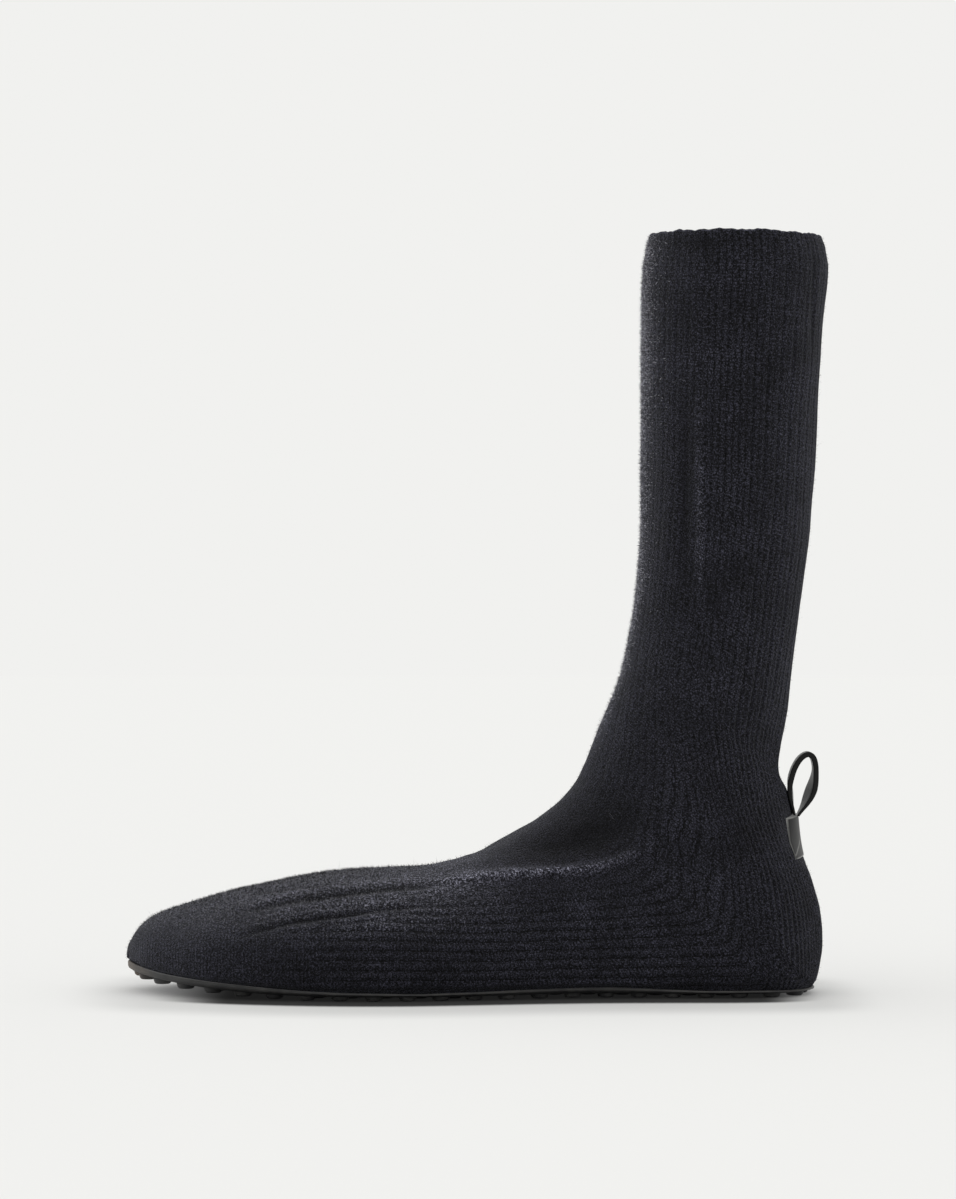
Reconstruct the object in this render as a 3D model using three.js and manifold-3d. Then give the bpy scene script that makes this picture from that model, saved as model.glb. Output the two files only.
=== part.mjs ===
// A knit sock boot for a left foot, in millimetres, with +Z up.
// The toe points along -X, the heel along +X, and +Y is the inner side of the foot.
// Places along the foot are written as distances ahead of the heel, and x is minus that
// distance until the finished shoe is centred over its own footprint at the end.

import * as THREE from "three";
import { mergeVertices } from "three/addons/utils/BufferGeometryUtils.js";
import Module from "manifold-3d";

const wasm = await Module();
wasm.setup();

// Driving dimensions
const FOOT_LENGTH = 259;
const KNIT = 2.2; // thickness of the ribbed knit
const GAP = 0.3; // clearance where two pieces meet
const PLATE = 1; // rubber between the pebbles and the knit
const LIP_WIDTH = 1.1; // rim of the sole that cups the knit
const PEBBLE_HEIGHT = 1.5;
const PEBBLE_TOP_RADIUS = 3.5;
const PEBBLE_FOOT_RADIUS = 2.6;
const PEBBLE_PITCH = 12.4;
const PEBBLE_INSET = 5.5; // from the sole's edge to the middle of the outer row
const PEBBLE_SUNK = 0.5; // how far each one reaches up into the plate
const PEBBLE_SIDES = 8;
const PEBBLE_CLEARANCE = 9.5; // least distance of a middle pebble from the outer row
const PEBBLE_COLUMNS = 4; // columns of pebbles on each side of the middle
const INSOLE = 2.6;
const COLLAR_SWELL = 0.4; // how far the collar's sides rise above its front and back

// The sole leaves the floor ahead of the ball and, a little, under the arch
const SPRING_START = 165;
const TOE_SPRING = 6.2;
const SPRING_POWER = 2.6;
const ARCH_BACK = 45;
const ARCH_FRONT = 130;
const ARCH_RISE = 0.4;

// The leather tab across the back of the heel and the pull loop above it
const TAB_LOW = 50.2;
const TAB_HIGH = 65.3;
const TAB_INNER = 10;
const TAB_OUTER = -12;
const TAB_PROUD = 2.3; // how far its upper edge stands out of the knit
const TAB_BED = 0.8; // how deep it is let into the knit
const TAB_BLOCK_AHEAD = 30; // the block that cuts it out reaches this far ahead of the heel
const TAB_BLOCK_BEHIND = 10;
const LOOP_WIDTH = 9;
const LOOP_THICKNESS = 2;
const LOOP_END_THICKNESS = 0.8;
const LOOP_MIDDLE = -1.5; // where its middle lies across the heel
const LOOP_TWIST = 0.15; // of its free arm, which shows its inner face

// Sections of the last, from the toe round the heel and up the shaft. Each lies in a plane
// across the foot, through a crest point on the front and a base point on the sole or back.
// crestAt and baseAt are distances ahead of the heel, crestUp and baseUp heights.
// inner and outer are its sides, ridge the place of its crest across the foot, belly the
// share of its height where it is widest, and crown and floor its squareness each way.
const SECTION_COLUMNS = [
  "crestAt", "crestUp", "baseAt", "baseUp", "inner", "outer", "ridge", "belly", "crown", "floor",
];
const SECTIONS = [
  [259, 13.4, 259, 13.4, 12, 12, 12, 0.4, 2.2, 2.2],
  [258.4, 16.6, 258.4, 10.1, 17.5, 6.5, 12, 0.4, 2.2, 2.2],
  [257, 19.4, 257, 7.9, 22.5, 1, 12, 0.4, 2.2, 2.6],
  [254, 23.7, 254, 5.6, 28.8, -6.5, 12, 0.38, 2.2, 3],
  [249.2, 27.2, 249.2, 4.7, 33.8, -14, 12, 0.36, 2.2, 3.5],
  [240, 30.7, 240, 3.5, 39.2, -22.5, 12, 0.36, 2.2, 4.2],
  [228, 34.4, 228, 2.3, 43.2, -31, 11, 0.36, 2.2, 5],
  [212, 38.8, 212, 1.2, 45.8, -38, 10, 0.36, 2.2, 5.5],
  [195, 42.2, 195, 0.5, 46.2, -42.6, 9, 0.36, 2.2, 5.5],
  [178, 44.6, 178, 0.2, 45, -45, 8, 0.36, 2.2, 5.5],
  [160, 45.8, 160, 0.1, 41.5, -45.6, 7, 0.35, 2.2, 5.5],
  [144, 47.6, 140, 0.2, 36.5, -43, 5, 0.34, 2.2, 5.5],
  [130, 51.4, 120, 0.4, 32, -39, 3, 0.33, 2.2, 5.5],
  [117.8, 57.6, 98, 0.5, 29.5, -35, 1.5, 0.3, 2.2, 5.5],
  [106.6, 64, 74, 0.5, 28.5, -32, 0, 0.27, 2.2, 5.5],
  [97.9, 70.9, 49, 0.2, 29, -30.5, 0, 0.25, 2.2, 5],
  [91.6, 77.5, 24, 0.1, 29.3, -29.8, 0, 0.25, 2.2, 4],
  [88.2, 83.8, 5.5, 1.2, 29, -29.3, 0, 0.28, 2.2, 3],
  [85.5, 90.5, 0.7, 12, 28.6, -28.9, 0, 0.32, 2.2, 2.3],
  [82.8, 97, 0.5, 28, 28.2, -28.5, 0, 0.37, 2.2, 2.1],
  [80, 103.5, 3.7, 42, 27.6, -27.9, 0, 0.42, 2.2, 1.9],
  [77, 111.5, 8.4, 56, 27, -27.2, 0, 0.46, 2.2, 1.8],
  [74.1, 120, 12.3, 74, 26.6, -26.6, 0, 0.49, 2.2, 1.8],
  [71.3, 132, 15.9, 84, 26.4, -26.4, 0, 0.5, 2.2, 1.9],
  [68.8, 148, 12.5, 107, 26.4, -26.4, 0, 0.5, 2.2, 2],
  [67, 168, 9, 134, 26.6, -26.6, 0, 0.5, 2.2, 2.1],
  [66.3, 195, 4.3, 172, 27, -27, 0, 0.5, 2.2, 2.2],
  [66.5, 225, 1.6, 217, 27.6, -27.6, 0, 0.5, 2.2, 2.2],
  [66.2, 254, -0.6, 250, 28.4, -28.4, 0, 0.5, 2.2, 2.2],
  [65.4, 271, -2.2, 270, 28.6, -28.6, 0, 0.5, 2.2, 2.2],
  [63.6, 281.2, 0.4, 280.4, 28.2, -28.2, 0, 0.5, 2.2, 2.2],
];
const RINGS = 40; // rings of faces between the toe and the collar
const CROWN_STEPS = 9; // faces on each side, above and below the widest place
const FLOOR_STEPS = 6;
const SIDE_STEPS = CROWN_STEPS + FLOOR_STEPS;
const ALONG_STEP = 0.3; // how far off, in rows and in steps, a point's neighbours are
const AROUND_STEP = 0.6; // taken for its direction
const TOE_PLACE = 0.05; // the sections shrink to a point ahead of here

// Outline of the sole: distance ahead of the heel, and its inner and outer edges
const SOLE_OUTLINE = [
  [2.6, 0, 0],
  [7.5, 17.5, -17.5],
  [18, 24.5, -25],
  [34, 27.5, -28],
  [55, 27, -28.5],
  [80, 25, -29.5],
  [105, 26, -33],
  [130, 31, -38.5],
  [155, 38, -43],
  [178, 43.6, -42.8],
  [200, 44.3, -38.8],
  [220, 42.6, -31.8],
  [236, 38, -23],
  [248.6, 30, -12],
  [256, 22, 1.5],
  [258.5, 12, 12],
];
const OUTLINE_FACES = 60;
const BAND_STEPS = 20;

// Sizes of the blocks that trim the pieces, all well outside the shoe
const BAND_WIDTH = 140;
const BAND_REACH = 12; // beyond the heel and the toe
const FAR_BELOW = -10;
const PRISM_HEIGHT = 60;
const OUTSIDE_SOLE = 4;
const ABOVE_COLLAR = 6;
const ABOVE_SOLE = 20;

// Height of the rim above the plate: it climbs beside the arch and around the toe
const RIM_COLUMNS = ["at", "height"];
const RIM = [
  [0, 0.3],
  [45, 0.4],
  [78, 1.5],
  [112, 1.1],
  [148, 0.4],
  [180, 0.9],
  [215, 1.9],
  [245, 2],
  [259, 2.6],
];

// Middle line of the pull loop seen from the side, from its heel end to its free end:
// distance ahead of the heel, and height
const LOOP_LINE = [
  [9.75, 65.8],
  [9.85, 69],
  [10.55, 73.5],
  [11.1, 78],
  [10.3, 83],
  [7.9, 87],
  [5.1, 88.6],
  [3, 87],
  [2.3, 82.5],
  [3.4, 76.5],
  [5.8, 70.8],
  [8.8, 65.8],
];
const LOOP_FACES = 26;
const LOOP_APEX = 0.5; // share of its length at its top
const LOOP_PINCH = 0.22; // share of its length over which each end thins

// Corners of the strap's cross-section, as shares of its width and of its thickness
const STRAP_CORNERS = [
  [-0.5, -0.32],
  [-0.44, -0.5],
  [0.44, -0.5],
  [0.5, -0.32],
  [0.5, 0.32],
  [0.44, 0.5],
  [-0.44, 0.5],
  [-0.5, 0.32],
];

const lerp = THREE.MathUtils.lerp;

function lift(ahead) {
  if (ahead > SPRING_START) {
    const share = (ahead - SPRING_START) / (FOOT_LENGTH - SPRING_START);
    return TOE_SPRING * share ** SPRING_POWER;
  }
  if (ahead > ARCH_BACK && ahead < ARCH_FRONT) {
    const share = (ahead - ARCH_BACK) / (ARCH_FRONT - ARCH_BACK);
    return ARCH_RISE * Math.sin(Math.PI * share) ** 2;
  }
  return 0;
}

function soleUnderside(ahead) {
  return PEBBLE_HEIGHT + lift(ahead);
}

function soleTop(ahead) {
  return soleUnderside(ahead) + PLATE;
}

function rimTop(ahead) {
  let row = 0;
  while (row < RIM.length - 2 && ahead > RIM[row + 1][0]) row += 1;
  const share = (ahead - RIM[row][0]) / (RIM[row + 1][0] - RIM[row][0]);
  const place = row + THREE.MathUtils.clamp(share, 0, 1);
  return soleTop(ahead) + blendRows(RIM, RIM_COLUMNS, place).height;
}

// Smooth value of each column between the rows of a table, at a place counted in rows
function blendRows(rows, columns, place) {
  const last = rows.length - 1;
  const low = Math.min(Math.floor(place), last - 1);
  const part = place - low;
  const near = (index) => rows[THREE.MathUtils.clamp(index, 0, last)];
  const blended = {};
  columns.forEach((column, c) => {
    const [a, b, d, e] = [low - 1, low, low + 1, low + 2].map((index) => near(index)[c]);
    const bend = (3 * (b - d) + e - a) * part + (2 * a - 5 * b + 4 * d - e);
    blended[column] = b + 0.5 * part * (d - a + part * bend);
  });
  return blended;
}

// Point on the outside of the last, at a place in rows and a step around the section.
// Step 0 is the crest, and the steps run down the inner side, then up the outer side.
function lastPoint(place, step) {
  const section = blendRows(SECTIONS, SECTION_COLUMNS, place);
  const onInner = step <= SIDE_STEPS;
  const down = onInner ? step : 2 * SIDE_STEPS - step;
  const side = onInner ? section.inner : section.outer;
  let share;
  let across;
  if (down <= CROWN_STEPS) {
    const turn = Math.max(0, (down / CROWN_STEPS) * (Math.PI / 2));
    const rise = Math.max(0, Math.cos(turn)) ** (2 / section.crown);
    share = section.belly + (1 - section.belly) * rise;
    across = lerp(section.ridge, side, Math.sin(turn) ** (2 / section.crown));
  } else {
    const turn = Math.min(Math.PI / 2, ((down - CROWN_STEPS) / FLOOR_STEPS) * (Math.PI / 2));
    share = section.belly * (1 - Math.sin(turn) ** (2 / section.floor));
    const middle = (section.inner + section.outer) / 2;
    across = lerp(middle, side, Math.max(0, Math.cos(turn)) ** (2 / section.floor));
  }
  const ahead = lerp(section.baseAt, section.crestAt, share);
  const swell = Math.max(0, place - (SECTIONS.length - 2));
  const bow = Math.sin(Math.PI * THREE.MathUtils.clamp(share, 0, 1)) ** 2;
  const up = lerp(section.baseUp, section.crestUp, share) + COLLAR_SWELL * swell * bow;
  return new THREE.Vector3(-ahead, across, up);
}

function lastNormal(place, step) {
  const end = SECTIONS.length - 1;
  const around = 2 * SIDE_STEPS;
  const wrap = (value) => (value + around) % around;
  const forward = lastPoint(Math.min(end, place + ALONG_STEP), step);
  forward.sub(lastPoint(Math.max(TOE_PLACE, place - ALONG_STEP), step));
  const sideways = lastPoint(place, wrap(step + AROUND_STEP));
  sideways.sub(lastPoint(place, wrap(step - AROUND_STEP)));
  return forward.cross(sideways).normalize();
}

// Closed solid inside the last, moved in by the given depth at each point.
// A depth can be a number or a function of the point, and taller adds to the collar's height.
function lastSolid(depth, taller = 0) {
  const around = 2 * SIDE_STEPS;
  const depthAt = typeof depth === "function" ? depth : () => depth;
  const toe = lastPoint(0, 0);
  toe.x += depthAt(toe);
  const positions = [...toe.toArray()];
  for (let ring = 1; ring <= RINGS; ring += 1) {
    const place = (ring / RINGS) * (SECTIONS.length - 1);
    for (let step = 0; step < around; step += 1) {
      const point = lastPoint(place, step);
      const normal = lastNormal(place, step);
      if (ring === RINGS) {
        normal.z = 0;
        normal.normalize();
      }
      point.addScaledVector(normal, -depthAt(point));
      point.z += ring === RINGS ? taller : 0;
      positions.push(...point.toArray());
    }
  }
  const collar = positions.slice(-3 * around);
  const lid = [0, 1, 2].map((axis) => {
    let sum = 0;
    for (let step = 0; step < around; step += 1) sum += collar[3 * step + axis];
    return sum / around;
  });
  positions.push(...lid);
  const faces = [];
  const at = (ring, step) => 1 + (ring - 1) * around + (step % around);
  const top = 1 + RINGS * around;
  for (let step = 0; step < around; step += 1) {
    faces.push(0, at(1, step), at(1, step + 1));
    faces.push(top, at(RINGS, step + 1), at(RINGS, step));
    for (let ring = 1; ring < RINGS; ring += 1) {
      faces.push(at(ring, step), at(ring + 1, step), at(ring + 1, step + 1));
      faces.push(at(ring, step), at(ring + 1, step + 1), at(ring, step + 1));
    }
  }
  return solidFromFaces(positions, faces);
}

function solidFromFaces(positions, faces) {
  const mesh = new wasm.Mesh({
    numProp: 3,
    vertProperties: new Float32Array(positions),
    triVerts: new Uint32Array(faces),
  });
  return new wasm.Manifold(mesh);
}

function solidFromGeometry(geometry) {
  const bare = geometry.clone();
  bare.deleteAttribute("normal");
  bare.deleteAttribute("uv");
  const merged = mergeVertices(bare, 1e-4);
  return solidFromFaces(merged.attributes.position.array, merged.index.array);
}

function geometryFromSolid(solid) {
  const mesh = solid.getMesh();
  const geometry = new THREE.BufferGeometry();
  const positions = new Float32Array(mesh.vertProperties);
  geometry.setAttribute("position", new THREE.BufferAttribute(positions, 3));
  geometry.setIndex(new THREE.BufferAttribute(new Uint32Array(mesh.triVerts), 1));
  geometry.computeVertexNormals();
  return geometry;
}

// Solid between two heights that change along the foot, wider than the shoe
function band(lower, upper) {
  const stations = [-BAND_REACH];
  for (let at = 0; at <= FOOT_LENGTH; at += FOOT_LENGTH / BAND_STEPS) stations.push(at);
  stations.push(FOOT_LENGTH + BAND_REACH);
  const shape = new THREE.Shape();
  stations.forEach((at, index) => {
    if (index === 0) shape.moveTo(-at, upper(at));
    else shape.lineTo(-at, upper(at));
  });
  [...stations].reverse().forEach((at) => shape.lineTo(-at, lower(at)));
  const geometry = new THREE.ExtrudeGeometry(shape, { depth: BAND_WIDTH, bevelEnabled: false });
  geometry.rotateX(Math.PI / 2);
  geometry.translate(0, BAND_WIDTH / 2, 0);
  return solidFromGeometry(geometry);
}

// Points of the sole's outline, moved in by the given distance
function outlinePoints(inset) {
  const inner = SOLE_OUTLINE.map(([at, edge]) => new THREE.Vector3(-at, edge, 0));
  const outer = SOLE_OUTLINE.slice(1, -1).map(([at, , edge]) => new THREE.Vector3(-at, edge, 0));
  const curve = new THREE.CatmullRomCurve3([...inner, ...outer.reverse()], true, "centripetal");
  const spots = curve.getSpacedPoints(OUTLINE_FACES).slice(0, OUTLINE_FACES);
  const inward = THREE.ShapeUtils.area(spots) > 0 ? 1 : -1;
  return spots.map((spot, index) => {
    const along = curve.getTangentAt(index / OUTLINE_FACES);
    const x = spot.x - along.y * inward * inset;
    const y = spot.y + along.x * inward * inset;
    return new THREE.Vector2(x, y);
  });
}

function outlinePrism(inset) {
  const shape = new THREE.Shape(outlinePoints(inset));
  const geometry = new THREE.ExtrudeGeometry(shape, { depth: PRISM_HEIGHT, bevelEnabled: false });
  geometry.translate(0, 0, FAR_BELOW);
  return solidFromGeometry(geometry);
}

// Middles of the pebbles: a row along the sole's edge, and a grid over its middle
function pebblePlaces() {
  const edge = new THREE.CatmullRomCurve3(
    outlinePoints(PEBBLE_INSET).map((point) => new THREE.Vector3(point.x, point.y, 0)),
    true,
  );
  const count = Math.round(edge.getLength() / PEBBLE_PITCH);
  const ring = edge.getSpacedPoints(count).slice(0, count);
  const places = ring.map((point) => new THREE.Vector2(point.x, point.y));
  const outline = new THREE.Shape(outlinePoints(0)).getPoints();
  const inside = (spot) => {
    let odd = false;
    outline.forEach((a, index) => {
      const b = outline[(index + 1) % outline.length];
      const crosses = a.y > spot.y !== b.y > spot.y;
      if (crosses && spot.x < a.x + ((spot.y - a.y) / (b.y - a.y)) * (b.x - a.x)) odd = !odd;
    });
    return odd;
  };
  for (let at = PEBBLE_PITCH; at < FOOT_LENGTH; at += PEBBLE_PITCH) {
    for (let column = -PEBBLE_COLUMNS; column <= PEBBLE_COLUMNS; column += 1) {
      const spot = new THREE.Vector2(-at, column * PEBBLE_PITCH);
      const clear = ring.every((point) => spot.distanceTo(point) > PEBBLE_CLEARANCE);
      if (clear && inside(spot)) places.push(spot);
    }
  }
  return places;
}

function pebble(place) {
  const height = PEBBLE_HEIGHT + PEBBLE_SUNK;
  const geometry = new THREE.CylinderGeometry(
    PEBBLE_TOP_RADIUS,
    PEBBLE_FOOT_RADIUS,
    height,
    PEBBLE_SIDES,
  );
  geometry.rotateX(Math.PI / 2);
  geometry.rotateZ(Math.PI / PEBBLE_SIDES);
  geometry.translate(place.x, place.y, lift(-place.x) + height / 2);
  return solidFromGeometry(geometry);
}

// Box with its lowest and highest corners given
function boxSolid(low, high) {
  const size = high.map((value, axis) => value - low[axis]);
  const geometry = new THREE.BoxGeometry(...size);
  geometry.translate(...low.map((value, axis) => value + size[axis] / 2));
  return solidFromGeometry(geometry);
}

// How deep the tab's outer face lies below the knit: flush at its foot, proud at its top.
// It goes on a little beyond both edges, where the tab's block then cuts it.
function tabFace(point) {
  const share = (point.z - TAB_LOW) / (TAB_HIGH - TAB_LOW);
  return -TAB_PROUD * THREE.MathUtils.clamp(share, -0.2, 1.3);
}

function tabBlock(clearance) {
  return boxSolid(
    [-TAB_BLOCK_AHEAD, TAB_OUTER - clearance, TAB_LOW - clearance],
    [TAB_BLOCK_BEHIND, TAB_INNER + clearance, TAB_HIGH + clearance],
  );
}

function upperShape() {
  const knit = lastSolid(0).subtract(lastSolid(KNIT, ABOVE_COLLAR));
  const floor = band(() => FAR_BELOW, (at) => soleTop(at) + GAP);
  const lipRoom = outlinePrism(-OUTSIDE_SOLE)
    .subtract(outlinePrism(LIP_WIDTH + GAP))
    .intersect(band(() => FAR_BELOW, (at) => rimTop(at) + GAP));
  const tabBed = tabBlock(GAP).subtract(lastSolid(TAB_BED + GAP));
  return geometryFromSolid(knit.subtract(floor).subtract(lipRoom).subtract(tabBed));
}

function outsoleShape() {
  const plate = outlinePrism(0).intersect(band(soleUnderside, rimTop));
  const tray = outlinePrism(LIP_WIDTH).intersect(band(soleTop, (at) => soleTop(at) + ABOVE_SOLE));
  const pebbles = wasm.Manifold.union(pebblePlaces().map(pebble));
  return geometryFromSolid(plate.subtract(tray).add(pebbles));
}

function insoleShape() {
  const bed = band((at) => soleTop(at) + GAP, (at) => soleTop(at) + GAP + INSOLE);
  const room = outlinePrism(LIP_WIDTH + GAP + KNIT + GAP);
  return geometryFromSolid(lastSolid(KNIT + GAP).intersect(bed).intersect(room));
}

function tabShape() {
  const leather = lastSolid(tabFace).subtract(lastSolid(TAB_BED)).intersect(tabBlock(0));
  return geometryFromSolid(leather);
}

// Flat leather strap bent into a loop, thinner where its two ends meet above the tab
function loopShape() {
  const curve = new THREE.CatmullRomCurve3(
    LOOP_LINE.map(([ahead, up]) => new THREE.Vector3(-ahead, LOOP_MIDDLE, up)),
    false,
    "centripetal",
  );
  const positions = [];
  const faces = [];
  for (let index = 0; index <= LOOP_FACES; index += 1) {
    const share = index / LOOP_FACES;
    const centre = curve.getPointAt(share);
    const along = curve.getTangentAt(share);
    const fullness = Math.min(1, Math.min(share, 1 - share) / LOOP_PINCH);
    const thickness = lerp(LOOP_END_THICKNESS, LOOP_THICKNESS, fullness);
    const freeArm = THREE.MathUtils.clamp((share - LOOP_APEX) / (1 - LOOP_APEX), 0, 1);
    const twist = LOOP_TWIST * Math.sin(Math.PI * freeArm) ** 2;
    const width = new THREE.Vector3(0, 1, 0).applyAxisAngle(along, twist);
    const depth = new THREE.Vector3().crossVectors(along, width);
    STRAP_CORNERS.forEach(([w, d]) => {
      const corner = centre.clone();
      corner.addScaledVector(width, w * LOOP_WIDTH).addScaledVector(depth, d * thickness);
      positions.push(...corner.toArray());
    });
  }
  const around = STRAP_CORNERS.length;
  for (let index = 0; index < LOOP_FACES; index += 1) {
    for (let corner = 0; corner < around; corner += 1) {
      const a = index * around + corner;
      const b = index * around + ((corner + 1) % around);
      faces.push(a, b, b + around, a, b + around, a + around);
    }
  }
  const end = LOOP_FACES * around;
  for (let corner = 1; corner < around - 1; corner += 1) {
    faces.push(0, corner + 1, corner);
    faces.push(end, end + corner, end + corner + 1);
  }
  return geometryFromSolid(solidFromFaces(positions, faces));
}

const blackKnit = { color: 0x1c1d20, roughness: 0.95, metalness: 0 };
const blackRubber = { color: 0x232427, roughness: 0.55, metalness: 0 };
const blackLeather = { color: 0x2e3032, roughness: 0.42, metalness: 0 };
const footbed = { color: 0x26262a, roughness: 0.8, metalness: 0 };

function piece(name, geometry, finish) {
  const mesh = new THREE.Mesh(geometry, new THREE.MeshStandardMaterial(finish));
  mesh.name = name;
  return mesh;
}

const shoe = new THREE.Group();
shoe.add(piece("upper", upperShape(), blackKnit));
shoe.add(piece("outsole", outsoleShape(), blackRubber));
shoe.add(piece("insole", insoleShape(), footbed));
shoe.add(piece("heel_tab", tabShape(), blackLeather));
shoe.add(piece("pull_loop", loopShape(), blackLeather));

// The origin is on the floor under the middle of the whole shoe
const bounds = new THREE.Box3().setFromObject(shoe);
const middle = bounds.getCenter(new THREE.Vector3());
shoe.position.set(-middle.x, -middle.y, -bounds.min.z);

export default shoe;
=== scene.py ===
# A black knit sock boot for a left foot, standing empty on its thin rubber sole.
# The toe points along -X, the heel along +X, and +Y is the inner side of the foot.
# Shapes are worked out in millimetres ahead of the heel, across the foot and up from the
# floor, and are placed in the frame in metres.

import math

import bpy
import numpy as np
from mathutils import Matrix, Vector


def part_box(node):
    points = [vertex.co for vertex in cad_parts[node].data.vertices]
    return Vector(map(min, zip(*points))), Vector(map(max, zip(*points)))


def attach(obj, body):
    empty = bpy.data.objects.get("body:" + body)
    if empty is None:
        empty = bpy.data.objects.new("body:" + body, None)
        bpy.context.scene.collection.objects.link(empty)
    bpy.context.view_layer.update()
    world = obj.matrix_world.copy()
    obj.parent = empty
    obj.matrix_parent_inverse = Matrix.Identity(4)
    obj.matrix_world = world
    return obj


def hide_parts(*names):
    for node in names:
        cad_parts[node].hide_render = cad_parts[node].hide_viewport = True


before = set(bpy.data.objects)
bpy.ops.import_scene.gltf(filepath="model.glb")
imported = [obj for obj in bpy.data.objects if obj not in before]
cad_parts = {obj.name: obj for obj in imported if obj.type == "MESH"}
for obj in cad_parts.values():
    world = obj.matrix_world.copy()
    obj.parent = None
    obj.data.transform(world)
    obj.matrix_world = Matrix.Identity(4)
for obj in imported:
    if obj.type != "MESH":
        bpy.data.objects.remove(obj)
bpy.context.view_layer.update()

MM = 0.001
FOOT_LENGTH = 259

# Camera
# It stands level with the middle of the shaft and looks square at the outer side.
CAMERA_DISTANCE = 1.7
CAMERA_HEIGHT = 0.146
CAMERA_ACROSS = 0.0011
VIEW_HEIGHT = 0.4457  # how much of the shoe's middle plane the picture's height takes in

camera_data = bpy.data.cameras.new("camera")
camera_data.sensor_fit = "VERTICAL"
camera_data.sensor_height = 36
camera_data.lens = camera_data.sensor_height * CAMERA_DISTANCE / VIEW_HEIGHT
camera = bpy.data.objects.new("camera", camera_data)
camera.location = (CAMERA_ACROSS, -CAMERA_DISTANCE, CAMERA_HEIGHT)
camera.rotation_euler = (math.radians(90), 0, 0)
bpy.context.scene.collection.objects.link(camera)
bpy.context.scene.camera = camera
bpy.context.scene.view_settings.view_transform = "Standard"

# Studio light
# The sky is even and white. One soft lamp high behind the toe edges the shaft and the toe
# with light, and casts no shadow of its own.
BACKDROP = (0.879, 0.879, 0.863)
KEY_STRENGTH = 1.2
KEY_SOFTNESS = 34  # degrees that the lamp spans
KEY_TURN = (math.radians(40), 0, math.radians(-126))


def sky():
    world = bpy.data.worlds.new("sky")
    world.use_nodes = True
    fill_in(world.node_tree.nodes["Background"], {"Color": (*BACKDROP, 1), "Strength": 1})
    bpy.context.scene.world = world


def lamp(name, turn, strength, softness):
    data = bpy.data.lights.new(name, "SUN")
    data.energy = strength
    data.angle = math.radians(softness)
    data.use_shadow = False
    light = bpy.data.objects.new(name, data)
    light.rotation_euler = turn
    bpy.context.scene.collection.objects.link(light)


def fill_in(node, values):
    for socket, value in values.items():
        node.inputs[socket].default_value = value


def new_material(name, finish):
    material = bpy.data.materials.new(name)
    material.use_nodes = True
    shader = material.node_tree.nodes["Principled BSDF"]
    fill_in(shader, finish)
    return material, material.node_tree, shader


def new_node(tree, kind, values):
    node = tree.nodes.new(kind)
    fill_in(node, values)
    return node


sky()
lamp("key", KEY_TURN, KEY_STRENGTH, KEY_SOFTNESS)

# Knit upper
# The upper is one seamless sock, knitted in fine ribs from a soft black yarn. The ribs run
# along the foot beside the sole, turn up in a mitre at the heel and climb the shaft, and
# the toe is plain and slightly felted. It is glued into the rim of the sole.
KNIT = 2.2
GAP = 0.3
COLLAR_SWELL = 0.4
PEBBLE_HEIGHT = 1.5
PLATE = 1
LIP_WIDTH = 1.1
SPRING_START = 165
TOE_SPRING = 6.2
SPRING_POWER = 2.6
ARCH_BACK = 45
ARCH_FRONT = 130
ARCH_RISE = 0.4

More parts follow.
